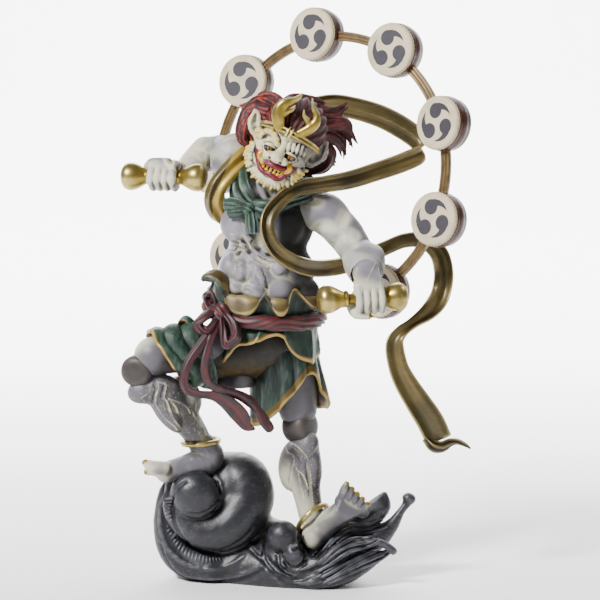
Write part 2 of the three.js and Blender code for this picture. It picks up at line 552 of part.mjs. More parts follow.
function sash() {
  const count = 18;
  const loop = Array.from({ length: count }, (_, i) => {
    const a = (2 * Math.PI * i) / count;
    return roundWaist(a, 17.6, 84.8 - 1.6 * Math.cos(a) - 1.6 * Math.sin(a)).toArray();
  });
  const rope = [[-2, 0], [-0.9, 1.2], [1.1, 1.2], [2, 0], [0, -1.1]];
  const tail = (stations, flat) => limb(stations, { sides: 4, steps: stations.length - 1, flat, round: [0, 0] });
  return fuse([
    band(loop, () => rope, () => [0, 0, 1], { steps: count, joined: true }),
    ball([-24.4, -13.4, 86.4], [2.9, 2.8, 2.9]),
    tail([[-24, -14.6, 86.6, 1.3], [-20.6, -17, 83, 1.6], [-19.8, -18, 79, 1.8], [-22.6, -18.6, 77.4, 1.7],
      [-23.4, -17.4, 81, 1.4], [-24.4, -15, 85.4, 1.2]], 0.8),
    tail([[-25, -14.4, 86.4, 1.3], [-28.6, -16, 85.2, 1.6], [-31, -17, 82.8, 1.7], [-28.4, -17.6, 81.6, 1.6],
      [-25.6, -16, 84.8, 1.2]], 0.8),
    tail([[-24.6, -15, 85, 1.5], [-27.4, -18.6, 78, 1.8], [-27.6, -20.6, 68.6, 1.9],
      [-22.6, -20.4, 63.4, 1.9], [-13.6, -17.6, 59.4, 1.8], [-9.2, -16, 51.6, 1.9]], 0.7),
    tail([[-25, -15, 84.6, 1.5], [-29.4, -19, 77, 1.8], [-35, -22, 68, 1.9], [-33, -22, 62.6, 2],
      [-25, -20, 60.4, 2.7], [-17, -18, 54, 2.4], [-13.8, -17.4, 50.8, 0.6]], 0.7),
  ]);
}

// The heavenly scarf: one long band behind the neck, out to the viewer's right, back across the
// chest, under the left arm and down. Each row is a point, the way its width points and half its width.
const SCARF = [
  [[-18, 10, 111], [-1, 0, 0], 2], [[-22.6, 3.6, 112.4], [-0.9, -0.4, 0], 2.4],
  [[-25, -3.4, 115], [-1, -0.2, -0.2], 2.8], [[-26.6, -7, 119.4], [-1, 0, 0.1], 2.9],
  [[-25.4, -7.4, 124], [-1, 0, 0.4], 3], [[-22.2, -6.2, 128.2], [-0.8, 0, 0.7], 3],
  [[-18.6, -3.8, 131.8], [-0.6, 0, 0.8], 3], [[-15, 2.4, 134.8], [-0.5, 0, 0.9], 3],
  [[-12.2, 10.5, 137.6], [-0.3, 0, 1], 3],
  [[-7, 16.4, 141], [-0.2, 0, 1], 3.2], [[0, 18.5, 144.8], [-0.2, 0, 1], 3.3],
  [[9.4, 18.5, 147], [0, 0, 1], 3.4], [[17, 18, 146], [0.2, 0, 1], 3.5],
  [[25, 17.5, 143.6], [0.3, 0, 1], 3.6], [[32, 16.8, 140], [0.3, 0, 1], 3.6],
  [[37.2, 15.2, 136], [0.2, 0, 1], 3.4], [[37.6, 12.4, 132.4], [0, 0, 1], 3.2],
  [[32.4, 9.4, 130], [-0.2, 0, 1], 3.2], [[24, 4.6, 127.6], [-0.2, 0, 1], 3.1],
  [[15.4, 0, 125.4], [-0.1, 0, 1], 3], [[7.2, -5.4, 124.6], [-0.1, 0, 1], 2.7],
  [[0, -9.8, 124], [-0.2, 0, 1], 2.6], [[-5.4, -14, 121.2], [-0.7, -0.2, 0.7], 2.5],
  [[-9.4, -17.2, 116.6], [-1, -0.3, 0.2], 2.4], [[-10, -19, 111.6], [-1, -0.4, 0], 2.4],
  [[-7.6, -19, 106.4], [-0.9, -0.4, -0.4], 2.5], [[-3, -17, 102.4], [-0.5, -0.3, -0.9], 2.6],
  [[3.1, -12, 99.6], [-0.3, -0.1, -1], 2.7], [[9.2, -5, 98.7], [-0.1, 0, -1], 2.8],
  [[14.9, 2, 98.9], [0, 0, -1], 2.8], [[20.6, 8, 100.3], [0.2, 0, -1], 2.6],
  [[27, 11.8, 102.8], [0.3, 0, -1], 2.4], [[33, 13, 105], [0.2, 0, -1], 2.4],
  [[39, 13.4, 104.8], [-0.4, 0, -1], 2.7], [[43.4, 12.4, 101], [-1, 0, -0.5], 3],
  [[44.9, 11, 95.4], [-1, 0, 0], 3.1], [[44.4, 10, 90], [-1, 0, 0.2], 3.1],
  [[42.8, 8.2, 86.4], [-0.9, 0, 0.5], 3.1], [[39.8, 6.2, 83.2], [-0.6, 0.3, 0.7], 2.8],
  [[35, 4, 80], [-0.3, 0.6, 0.7], 2], [[31.2, 2, 77.4], [-0.5, 0.4, 0.7], 2.2],
  [[29.4, 1, 73.8], [-0.9, 0.1, 0.3], 2.9], [[30.6, 0, 67], [-1, 0, -0.2], 3.2],
  [[33, 0, 61.8], [-1, 0, -0.5], 3.6], [[36.7, 0, 55.9], [-0.9, 0, -0.5], 4],
  [[40.6, 0, 49.8], [-0.9, 0, -0.4], 4.3], [[43.4, 0, 43.8], [-0.9, 0, -0.2], 4.2],
];
function scarf() {
  const rows = (part) => (t) => [0, 1, 2].map((i) => through(SCARF.map((row) => row[part][i]), t));
  const outline = (t) => {
    const w = through(SCARF.map((row) => row[2]), t);
    return [[-w, 0.2], [-w * 0.5, 0.9], [0, 0.4], [w * 0.5, 0.9], [w, 0.2], [0, -0.8]];
  };
  return fuse([
    band(SCARF.map((row) => row[0]), outline, rows(1), { steps: SCARF.length - 7 }),
    limb([
      [38.6, 0, 43.6, 1], [42.6, -0.4, 41.2, 2.1], [46.4, 0, 43, 1.8],
      [50, 0, 43.6, 1.1], [53.6, 0, 41, 0.3],
    ], { sides: 5, steps: 4, round: [0, 0] }),
  ]);
}

const ringNormal = vec([
  -Math.sin(radians(RING.azimuth)) * Math.cos(radians(RING.lean)),
  -Math.cos(radians(RING.azimuth)) * Math.cos(radians(RING.lean)),
  Math.sin(radians(RING.lean)),
]);
const ringSide = vec([0, 0, 1]).cross(ringNormal).normalize();
const ringTop = ringNormal.clone().cross(ringSide);
const ringAngle = (k) => radians(RING.start - (360 * k) / PLACES);
const onRing = (a, radius = RING.radius) => vec(RING.centre)
  .addScaledVector(ringSide, radius * Math.cos(a))
  .addScaledVector(ringTop, radius * Math.sin(a));
function drum(k) {
  const turn = radians(DRUM.turns[k]);
  const lean = radians(RING.lean);
  const facing = [-Math.sin(turn) * Math.cos(lean), -Math.cos(turn) * Math.cos(lean), Math.sin(lean)];
  const h = DRUM.depth / 2;
  const profile = [[0, -h], [DRUM.radius - 0.4, -h], [DRUM.belly, -0.6], [DRUM.radius, h], [0, h]];
  return turned(profile, 14, stand(onRing(ringAngle(k)).toArray(), facing));
}
// A rod of the ring: three ribs side by side, on the arc between two drums.
function rod(a, b) {
  const margin = (2 * Math.asin((DRUM.belly + GAP) / (2 * RING.radius))) / radians(360 / PLACES);
  const angle = (t) => mix(ringAngle(a + margin), ringAngle(b - margin), t);
  const steps = 2 * (b - a);
  const points = Array.from({ length: steps + 1 }, (_, i) => onRing(angle(i / steps), ROD.radius).toArray());
  const w = ROD.halfWidth;
  const ribs = [[-1, 0], [-0.66, 0.9], [-0.33, 0.6], [0, 1], [0.33, 0.6], [0.66, 0.9], [1, 0], [0, -0.9]];
  const section = ribs.map(([u, v]) => [w * u, v]);
  const wide = (t) => onRing(angle(t)).sub(vec(RING.centre)).toArray();
  return band(points, () => section, wide, { steps });
}
const bracket = () => limb([
  [-6, 9, 92, 3], [-4, 17, 88, 2], [...onRing(ringAngle(BARE), ROD.radius).toArray(), 2.4],
], { sides: 5, steps: 2 });

// The base: a thundercloud in the shape of a snail, cut flat below.
function base() {
  const floor = new THREE.BoxGeometry(140, 140, 40).translate(0, 0, -20 - swell);
  const body = { sides: 6, steps: 4 };
  const strand = { sides: 4, steps: 3, round: [0, 0] };
  return fuse([
    ball([-24.3, 4, 24], [15.6, 12, 15.2], [0, 0, 0], 2),
    ball([-32.6, -8.8, 28.4], [7.9, 6.2, 7.9]),
    limb([
      [-39.6, -5, 30, 2.4], [-38.6, -7, 22.4, 3.6], [-31.6, -7.6, 16.8, 5], [-22.6, -5.4, 17.6, 7.2],
      [-17, -1.6, 24.6, 8.6], [-18.2, 1, 30.8, 8.6], [-23, 4, 32, 7],
    ], { sides: 7, steps: 8, round: [0, 0] }),
    limb([
      [-36.6, 1, 34.4, 1.6], [-41, 0, 27, 3.2], [-41.4, -1, 15.6, 4.4],
      [-37.4, -2, 7.6, 5.4], [-28, -4, 4.4, 5.6],
    ], { sides: 6, steps: 5, round: [0, 1] }),
    limb([[-30, 7, 3, 5], [-10, 3, 3, 7], [4, 0, 3, 6]], { sides: 6, steps: 2 }),
    ball([-33, 3, 13], [6, 6, 7]),
    limb([[-33, 2, 4.6, 7], [-18, -2, 4, 8.4], [-4, -7, 4.4, 8.8], [6, -9, 5, 8.4], [12, -6, 7.6, 7]], body),
    limb([[-32, 12, 3, 6], [-14, 15, 3.6, 8], [2, 12, 4, 8], [10, 2, 5, 8]], body),
    limb([[-14, 3, 12, 8], [-6, 0, 12, 6], [2, -2, 8, 6]], { sides: 7, steps: 2 }),
    ball([-5.3, -11.6, 15.8], [5, 4.8, 5.2]),
    ball([-1.4, -14.6, 11], [4, 3.8, 4.2]),
    limb([[8, -4, 9, 7], [16, -4, 12.4, 5.4], [23, -5, 13, 4], [28, -4, 16.4, 2.6], [31.6, -3, 21.4, 1.5],
      [33.8, -2, 24.8, 1.7]], { sides: 6, steps: 6, round: [0, 0] }),
    ball([34, -2, 25.6], [2.3, 2.1, 1.9]),
    limb([[13, -1, 14, 4.4], [19.6, 0, 19, 4.8], [25, 0, 23.6, 3.4], [26.4, 0, 27.6, 0.8]],
      { sides: 6, steps: 3, flat: 0.6, round: [0, 0] }),
    limb([[1, -13, 8, 2.4], [9, -15.4, 10, 2.6], [16, -14.4, 13.4, 2.2], [23, -12, 13.6, 0.4]], strand),
    limb([[4, -15, 3, 3.4], [12, -14, 4.6, 4], [19, -12.6, 7.4, 3.4], [27, -11, 10.6, 0.8]], strand),
    limb([[20, -11, 12.6, 2], [25, -13.4, 13.2, 1.5], [28.6, -14, 11.4, 1.4]], { sides: 5, steps: 2 }),
  ]).subtract(solid(floor));
}

// Colour, roughness and metalness of each paint.
const colours = {
  skin: ["#b9b6a8", 0.6, 0],
  hair: ["#5c2220", 0.55, 0],
  gold: ["#a98f3f", 0.35, 0.8],
  green: ["#24402c", 0.55, 0],
  sash: ["#5a2c30", 0.55, 0],
  bronze: ["#6f6238", 0.38, 0.7],
  knee: ["#4a4647", 0.5, 0],
  cloud: ["#2c2c30", 0.4, 0.1],
  drum: ["#c9bda4", 0.7, 0],
  rod: ["#8d744a", 0.4, 0.6],
};

const THIGHS = ["thigh_right", "thigh_left"];
// Pieces in the order in which they keep their shape. Each is cut back from the ones it names.
const pieces = [
  ["torso", "skin", torso, [], COARSE],
  ["head", "skin", head, ["torso"]],
  ["crown", "gold", crown, ["head"]],
  ["hair", "hair", hair, ["head", "crown", "torso"], COARSE],
  ["upper_arm_right", "skin", upperArmRight, ["torso", "head", "hair"]],
  ["forearm_right", "skin", forearmRight, ["upper_arm_right"]],
  ["club_right", "gold", () => club("right"), []],
  ["hand_right", "skin", handRight, ["club_right", "forearm_right"]],
  ["upper_arm_left", "skin", upperArmLeft, ["torso", "head"]],
  ["club_left", "gold", () => club("left"), []],
  ["forearm_left", "skin", forearmLeft, ["upper_arm_left", "club_left"]],
  ["hand_left", "skin", handLeft, ["club_left", "forearm_left"]],
  ["thigh_right", "skin", thighRight, ["torso"]],
  ["thigh_left", "skin", thighLeft, ["torso", "thigh_right"]],
  ["knee_right", "knee", kneeRight, ["thigh_right"]],
  ["knee_left", "knee", kneeLeft, ["thigh_left"]],
  ["shin_right", "skin", shinRight, ["thigh_right", "knee_right"]],
  ["shin_left", "skin", shinLeft, ["knee_left"]],
  ["anklet_right", "gold", ankletRight, ["shin_right"]],
  ["foot_right", "skin", footRight, ["shin_right", "anklet_right"]],
  ["anklet_left", "gold", ankletLeft, ["shin_left"]],
  ["foot_left", "skin", footLeft, ["shin_left", "anklet_left"]],
  ["base", "cloud", base, ["foot_right", "foot_left", "anklet_left", "shin_left"], COARSE],
  ["trouser_right", "green", trouserRight, ["torso", ...THIGHS, "shin_right", "knee_right"]],
  ["trouser_left", "green", trouserLeft, ["torso", ...THIGHS, "trouser_right"]],
  ["skirt", "green", skirt, ["torso", ...THIGHS, "trouser_right", "trouser_left"]],
  ["waist_cloth", "green", waistCloth, ["torso", "skirt", "forearm_left"]],
  ["sash", "sash", sash, ["torso", "skirt", "waist_cloth", "trouser_right", "trouser_left", "thigh_right",
    "shin_right", "club_left", "hand_left"]],
  ["neck_cloth", "green", neckCloth, ["torso", "head", "hair", "upper_arm_right", "upper_arm_left"]],
  ["scarf", "bronze", scarf, ["torso", "head", "hair", "neck_cloth", "upper_arm_right", "upper_arm_left",
    "forearm_right", "forearm_left", "hand_left", "waist_cloth", "sash"]],
];
const places = Array.from({ length: PLACES }, (_, k) => k).filter((k) => k !== BARE);
const nearRing = ["upper_arm_right", "forearm_right", "hair", "scarf"];
places.forEach((k, i) => pieces.push([`drum_${i + 1}`, "drum", () => drum(k), [...nearRing, "torso"]]));
places.forEach((k, i) => {
  const next = places[(i + 1) % places.length];
  const span = (next - k + PLACES) % PLACES;
  const ends = [`drum_${i + 1}`, `drum_${((i + 1) % places.length) + 1}`];
  pieces.push([`ring_rod_${i + 1}`, "rod", () => rod(k, k + span), [...ends, ...nearRing]]);
});
pieces.push(["ring_bracket", "rod", bracket, ["torso", "ring_rod_6", "waist_cloth", "sash"], COARSE]);

const raijin = new THREE.Group();
raijin.name = "raijin";
const made = new Map();
function grown(name) {
  swell = GAP;
  const bigger = made.get(name).make();
  swell = 0;
  return bigger;
}
for (const [name, slot, make, neighbours, tolerance = FINE] of pieces) {
  let whole = make();
  for (const other of neighbours) whole = whole.subtract(grown(other));
  if (neighbours.length) whole = largest(whole);
  made.set(name, { make });
  const geometry = thinned(whole.getMesh(), tolerance);
  geometry.computeVertexNormals();
  const [color, roughness, metalness] = colours[slot];
  const mesh = new THREE.Mesh(geometry, new THREE.MeshStandardMaterial({ color, roughness, metalness }));
  mesh.name = name;
  raijin.add(mesh);
}

export default raijin;
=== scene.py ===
"""The raijin figure: a painted plastic figure of the thunder god on a snail-shaped thundercloud.

Forms are worked out in millimetres in the frame of the CAD model and written in metres. The viewer
stands at -Y. "right" and "left" in names are the figure's own.
"""

import math

import bpy
import numpy as np
import openvdb
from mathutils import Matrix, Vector
from mathutils.geometry import delaunay_2d_cdt
from mathutils.kdtree import KDTree


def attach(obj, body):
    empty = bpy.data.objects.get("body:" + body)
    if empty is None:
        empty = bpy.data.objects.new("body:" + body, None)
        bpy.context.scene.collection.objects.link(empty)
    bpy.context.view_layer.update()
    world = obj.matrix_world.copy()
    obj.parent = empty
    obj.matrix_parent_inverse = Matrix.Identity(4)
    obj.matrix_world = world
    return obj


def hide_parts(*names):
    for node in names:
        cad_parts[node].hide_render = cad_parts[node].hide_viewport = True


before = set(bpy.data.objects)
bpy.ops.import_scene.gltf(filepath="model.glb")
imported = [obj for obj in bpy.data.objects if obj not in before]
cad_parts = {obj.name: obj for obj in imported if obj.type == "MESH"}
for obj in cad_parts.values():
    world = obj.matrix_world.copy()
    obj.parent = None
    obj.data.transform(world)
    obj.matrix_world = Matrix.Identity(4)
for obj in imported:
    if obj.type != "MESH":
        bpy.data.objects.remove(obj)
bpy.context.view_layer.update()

MM = 0.001
COARSER = 1.0
FAR = 5.0  # distances beyond this aren't kept
TURN = 2 * math.pi

# Numbers shared with the CAD model
JOINT = {
    "shoulder_right": (-18, 5, 130), "elbow_right": (-25, 19.5, 132.5), "wrist_right": (-37, 4.5, 127.5),
    "shoulder_left": (5.5, -1, 116), "elbow_left": (18.5, -8, 101.5), "wrist_left": (21.3, -21.5, 95.5),
    "hip_right": (-18, -2, 74), "knee_right": (-49.6, -15, 68.4), "ankle_right": (-31, -3.5, 43.5),
    "hip_left": (-4, 2, 75), "knee_left": (0, -2, 49.5), "ankle_left": (3.6, -3, 20.5),
}
HEAD_CENTRE = (-3.8, -7.3, 137.4)
HEAD_ROLL, HEAD_PITCH, HEAD_YAW = 24, 14, -7
RING_CENTRE = (9.5, 25, 125.9)
RING_RADIUS, RING_AZIMUTH, RING_LEAN, RING_START = 43.5, 33.1, 9.6, 142.5
PLACES, BARE = 9, 6
DRUM_RADIUS, DRUM_BELLY, DRUM_DEPTH = 8.3, 8.7, 7.4
DRUM_TURNS = (27, 35.5, 34, 43.5, 37, 36, 0, 30, 33)
ROD_HALF_WIDTH, ROD_RADIUS = 1.6, 42.3
BELT_CENTRE, BELT_ACROSS, BELT_DEEP = (-11, 0), 16.5, 14.5
CLOTH = 1.1  # how thick cloth is

# Numbers of this script alone
DEEPER = 1.3  # colours are raised to this power, because they look paler in the light than they are
LINED_BELOW, SPECKED_BELOW = 12, 5  # skin has lines, and grey skin specks, where its cells are smaller
# The photograph: how far its camera stands, how many degrees it looks down, the height it looks at,
# how wide a pixel is there and which pixel is in the middle.
CAMERA_AWAY, CAMERA_DOWN, CAMERA_AIM, PIXEL, MIDDLE = 1100, 8, 88, 0.31, 300
PIXELS_APART = 1.2  # how far apart the lines of sight through a path are
# In lists with names in capitals, pairs are the photograph's pixels and triples are millimetres, with
# a radius behind them where there are four numbers. A list that holds something else says so above it.


# Small mathematics
def spin(axis, degrees):
    """The matrix of a turn about X, Y or Z."""
    a = math.radians(degrees)
    c, s = math.cos(a), math.sin(a)
    rows = {
        "x": ((1, 0, 0), (0, c, -s), (0, s, c)),
        "y": ((c, 0, s), (0, 1, 0), (-s, 0, c)),
        "z": ((c, -s, 0), (s, c, 0), (0, 0, 1)),
    }
    return np.array(rows[axis])


HEAD = spin("y", HEAD_ROLL) @ spin("x", HEAD_PITCH) @ spin("z", HEAD_YAW)


def unit(v):
    v = np.asarray(v, float)
    return v / np.maximum(np.linalg.norm(v, axis=-1, keepdims=True), 1e-9)


def through(values, t, closed=False):
    """A smooth line through evenly spaced values, at each t from 0 to 1."""
    values = np.asarray(values, float)
    t = np.atleast_1d(np.asarray(t, float))
    n = len(values)
    if closed:
        at = (t % 1) * n
        i = np.floor(at).astype(int)
        padded = np.concatenate([values[-1:], values, values[:3]])
    else:
        at = np.clip(t, 0, 1) * (n - 1)
        i = np.minimum(np.floor(at).astype(int), n - 2)
        padded = np.concatenate([2 * values[:1] - values[1:2], values, 2 * values[-1:] - values[-2:-1]])
    f = (at - i).reshape((-1,) + (1,) * (values.ndim - 1))
    a, b, c, d = (padded[i + k] for k in range(4))
    return b + 0.5 * ((c - a) * f + (2 * a - 5 * b + 4 * c - d) * f**2 + (3 * b - a - 3 * c + d) * f**3)


def smooth_line(values, count):
    """That many evenly spread places on a smooth line through values."""
    return through(values, np.linspace(0, 1, count))


def round_turn(count):
    """Evenly spread angles of a full turn."""
    return np.arange(count) * TURN / count


def oval(angles, across, out):
    """Points (across, out) of an oval at those angles."""
    return np.stack([across * np.cos(angles), out * np.sin(angles)], 1)


def mirrored(half):
    """A profile of (radius, height) from its half above the middle."""
    return [(r, -h) for r, h in reversed(half)] + half


def unbroken(places, jump):
    """The numbers of the places in runs, broken where a step is longer than a jump."""
    steps = np.linalg.norm(np.diff(places, axis=0), axis=1)
    return np.split(np.arange(len(places)), np.nonzero(steps > jump)[0] + 1)


def evened(line, rounds):
    """A line after rounds in which each place moves halfway to the middle of its neighbours."""
    for _ in range(rounds):
        line[1:-1] = 0.5 * line[1:-1] + 0.25 * (line[:-2] + line[2:])
    return line


def tapered(count, ends):
    """Shares of a radius along a line that thins towards its ends, more so the smaller ends is."""
    return np.sin(np.linspace(ends, math.pi - ends, count)) ** 0.5


def closest(points, places):
    """How far each point is from the closest of a few places."""
    return np.min([np.linalg.norm(points - np.asarray(place), axis=1) for place in places], axis=0)


def facing(azimuth, lean):
    """The direction towards the viewer, turned and leaned back by degrees."""
    a, b = math.radians(azimuth), math.radians(lean)
    return np.array((-math.sin(a) * math.cos(b), -math.cos(a) * math.cos(b), math.sin(b)))


def mix(a, b, f):
    return np.asarray(a, float) * (1 - f) + np.asarray(b, float) * f


def ease(x, low, high):
    """0 below low, 1 above high and smooth between them."""
    f = np.clip((x - low) / (high - low), 0, 1)
    return f * f * (3 - 2 * f)


def chance(lattice, seed):
    """Three steady random numbers from 0 to 1 for each whole-number place."""
    keys = np.array([[127.1, 311.7, 74.7], [269.5, 183.3, 246.1], [113.5, 271.9, 124.6]])
    return np.abs(np.sin(lattice @ keys.T + seed) * 43758.5453) % 1


def waves(points, size, seed):
    """A smooth unevenness from about -1 to 1, with lumps of that size."""
    rng = np.random.default_rng(seed)
    total = np.zeros(len(points))
    for k in range(7):
        direction = unit(rng.normal(size=3)) * TURN / (size * rng.uniform(0.8, 1.9))
        total += np.sin(points @ direction + rng.uniform(0, TURN))
    return total / 3.2


def cells(points, size, seed, stretch=(1, 1, 1)):
    """How far each point is from the wall between scattered cells, in millimetres."""
    warp = np.stack([waves(points, size * 2.2, seed + k) for k in range(3)], 1) * size * 0.25
    p = (points + warp) / (size * np.array(stretch))
    home = np.floor(p)
    first = np.full(len(p), 9.0)
    second = np.full(len(p), 9.0)
    for dx in (-1, 0, 1):
        for dy in (-1, 0, 1):
            for dz in (-1, 0, 1):
                lattice = home + (dx, dy, dz)
                seeds = lattice + 0.15 + 0.7 * chance(lattice, seed)
                d = np.linalg.norm(p - seeds, axis=1)
                second = np.minimum(second, np.maximum(first, d))
                first = np.minimum(first, d)
    return (second - first) * size / 2


def sight(px, py):
    """The camera's place and the direction in which it sees a pixel of the photograph."""
    tilt = math.radians(CAMERA_DOWN)
    ahead = np.array((0, math.cos(tilt), -math.sin(tilt)))
    up = np.array((0, math.sin(tilt), math.cos(tilt)))
    right = np.array((1.0, 0, 0))
    share = PIXEL / CAMERA_AWAY
    direction = ahead + right * (px - MIDDLE) * share + up * (MIDDLE - py) * share
    return np.array((0, 0, CAMERA_AIM)) - CAMERA_AWAY * ahead, unit(direction)


# Solids from distance fields
def soft_least(a, b, k):
    """The smaller of two distances, rounded where they meet."""
    if k <= 0:
        return np.minimum(a, b)
    h = np.maximum(k - np.abs(a - b), 0)
    return np.minimum(a, b) - h * h / (4 * k)


class Field:
    """A body modelled as a distance field in a box, from which its skin is taken."""

    def __init__(self, low, high, cell):
        self.cell = cell * COARSER
        self.low = np.array(low, float)
        shape = np.ceil((np.array(high) - self.low) / self.cell).astype(int) + 1
        self.d = np.full(shape, FAR, np.float32)

    def part(self, low, high):
        """The slices and the coordinates of a smaller box."""
        a = np.maximum(np.floor((np.array(low) - self.low) / self.cell).astype(int), 0)
        b = np.minimum(np.ceil((np.array(high) - self.low) / self.cell).astype(int) + 1, self.d.shape)
        b = np.maximum(b, a)
        place = tuple(slice(a[i], b[i]) for i in range(3))
        shape = ((-1, 1, 1), (1, -1, 1), (1, 1, -1))
        axes = [
            (self.low[i] + self.cell * np.arange(a[i], b[i])).astype(np.float32).reshape(shape[i])
            for i in range(3)
        ]
        return place, axes

    def merge(self, place, d, k, cut):
        old = self.d[place]
        self.d[place] = -soft_least(-old, d, k) if cut else soft_least(old, d, k)

    def ball(self, centre, half, turn=(0, 0, 0), k=1.0, cut=False):
        """An ellipsoid with three half-axes, turned by degrees about X, Y and Z."""
        half = np.array(half, float)
        matrix = spin("z", turn[2]) @ spin("y", turn[1]) @ spin("x", turn[0])
        reach = np.sqrt(((matrix * half) ** 2).sum(1)) + k + 3 * self.cell
        place, (x, y, z) = self.part(np.array(centre) - reach, np.array(centre) + reach)
        x, y, z = x - centre[0], y - centre[1], z - centre[2]
        one = 0
        two = 0
        for i in range(3):
            q = (x * matrix[0, i] + y * matrix[1, i] + z * matrix[2, i]) / half[i]
            one = one + q * q
            two = two + (q / half[i]) ** 2
        one = np.sqrt(one)
        self.merge(place, (one * (one - 1) / np.sqrt(np.maximum(two, 1e-12))).astype(np.float32), k, cut)

    def limb(self, stations, k=1.0, cut=False, flat=1.0, thin=(0, 0, 1), spans=4):
        """A round limb through stations (x, y, z, radius). flat squeezes it along thin."""
        stations = np.array(stations, float)
        line = smooth_line(stations, spans * (len(stations) - 1) + 1)
        line[:, 3] = np.maximum(line[:, 3], 0.05)
        pad = k + 3 * self.cell
        low = (line[:, :3] - line[:, 3:]).min(0) - pad
        high = (line[:, :3] + line[:, 3:]).max(0) + pad
        place, axes = self.part(low, high)
        d = np.full([s.stop - s.start for s in place], FAR, np.float32)
        thin = unit(thin)
        for a, b in zip(line[:-1], line[1:]):
            box_low = np.minimum(a[:3] - a[3], b[:3] - b[3]) - pad
            box_high = np.maximum(a[:3] + a[3], b[:3] + b[3]) + pad
            near, (x, y, z) = self.part(box_low, box_high)
            if any(s.stop <= s.start for s in near):
                continue
            inner = tuple(slice(n.start - p.start, n.stop - p.start) for n, p in zip(near, place))
            run = b[:3] - a[:3]
            x, y, z = x - a[0], y - a[1], z - a[2]
            t = np.clip((x * run[0] + y * run[1] + z * run[2]) / max(run @ run, 1e-9), 0, 1)
            x, y, z = x - t * run[0], y - t * run[1], z - t * run[2]
            square = x * x + y * y + z * z
            if flat != 1:
                square = square + (1 / flat**2 - 1) * (x * thin[0] + y * thin[1] + z * thin[2]) ** 2
            away = np.sqrt(square) - (a[3] + t * (b[3] - a[3]))
            d[inner] = np.minimum(d[inner], away)
        self.merge(place, d, k, cut)

    def seen(self, path, behind=False):
        """Where the camera's lines of sight through a path first meet the body, or last leave it."""
        path = np.array(path, float)
        length = np.linalg.norm(np.diff(path, axis=0), axis=1).sum()
        path = smooth_line(path, max(int(length / PIXELS_APART), 4))
        found = []
        for px, py in path:
            eye, way = sight(px, py)
            start = (self.low[1] - eye[1]) / way[1]
            stop = start + self.cell * self.d.shape[1]
            points = eye + way * np.arange(start, stop, self.cell * 0.5)[:, None]
            index = np.round((points - self.low) / self.cell).astype(int)
            good = ((index >= 0) & (index < self.d.shape)).all(1)
            hits = points[good][self.d[tuple(index[good].T)] < 0]
            if len(hits):
                found.append(hits[-1 if behind else 0])
        return np.array(found)

    def draw(self, path, radius, k, cut=False):
        """A raised line or a groove along a path in the photograph. Its ends are thinner."""
        found = self.seen(path)
        self.stroke(found, radius, k, cut)
        return found

    def stroke(self, found, radius, k, cut, calm=4, jump=2.5):
        """A raised line or a groove through places on the surface, evened out in calm rounds and broken
        where they jump."""
        if len(found) < 3:
            return
        share = tapered(len(found), 0.25)
        for run in unbroken(found, jump):
            found[run] = evened(found[run], calm if len(run) > 4 else 0)
            if len(run) > 1:
                self.limb(np.column_stack([found, radius * share])[run], k, cut, spans=1)

    def floor(self):
        """Cuts away what lies below the ground."""
        z = self.low[2] + self.cell * np.arange(self.d.shape[2])
        self.d = np.maximum(self.d, (-z).astype(np.float32))

    def skin(self):
        """The body's surface as a shape."""
        grid = openvdb.FloatGrid(FAR)
        grid.copyFromArray(self.d)
        points, quads = grid.convertToQuads()
        points = self.low + points.astype(float) * self.cell
        return Shape(points, quads.astype(int)).outward()


class Shape:
    """Vertices in millimetres, quads and triangles, and named values for each vertex."""

    def __init__(self, points, quads=(), triangles=(), marks=None):
        self.points = np.asarray(points, float).reshape(-1, 3)
        self.quads = np.asarray(quads, int).reshape(-1, 4)
        self.triangles = np.asarray(triangles, int).reshape(-1, 3)
        self.marks = dict(marks or {})

    def corners(self):
        return np.concatenate([self.quads[:, [0, 1, 2]], self.quads[:, [0, 2, 3]], self.triangles])

    def outward(self):
        """Turns the faces so that they look out."""
        a, b, c = (self.points[self.corners()[:, i]] for i in range(3))
        if (np.cross(a, b) * c).sum() < 0:
            self.quads = self.quads[:, ::-1]
            self.triangles = self.triangles[:, ::-1]
        return self

    def edges(self):
        q, t = self.quads, self.triangles
        pairs = [q[:, [i, (i + 1) % 4]] for i in range(4)] + [t[:, [i, (i + 1) % 3]] for i in range(3)]
        return np.unique(np.sort(np.concatenate(pairs), axis=1), axis=0)

    def normals(self):
        faces = self.corners()
        a, b, c = (self.points[faces[:, i]] for i in range(3))
        face = np.cross(b - a, c - a)
        total = np.zeros_like(self.points)
        for i in range(3):
            for axis in range(3):
                total[:, axis] += np.bincount(faces[:, i], face[:, axis], len(total))
        return unit(total)

    def moved(self, matrix, place):
        self.points = self.points @ np.asarray(matrix).T + np.asarray(place, float)
        return self

    def relief(self, reach, gain):
        """Ridges up to 1 and hollows down to -1, against the surface smoothed over a reach in mm."""
        edges = self.edges()
        n = len(self.points)
        length = np.linalg.norm(self.points[edges[:, 0]] - self.points[edges[:, 1]], axis=1).mean()
        fewest, most = 2, 60
        rounds = int(np.clip((reach / length) ** 2, fewest, most))
        degree = np.maximum(np.bincount(edges.ravel(), minlength=n), 1)[:, None]
        smooth = self.points.copy()
        for _ in range(rounds):
            total = np.zeros_like(smooth)
            for axis in range(3):
                total[:, axis] = np.bincount(edges[:, 0], smooth[edges[:, 1], axis], n)
                total[:, axis] += np.bincount(edges[:, 1], smooth[edges[:, 0], axis], n)
            smooth = 0.4 * smooth + 0.6 * total / degree
        height = ((self.points - smooth) * self.normals()).sum(1)
        return np.clip(height * gain, -1, 1)


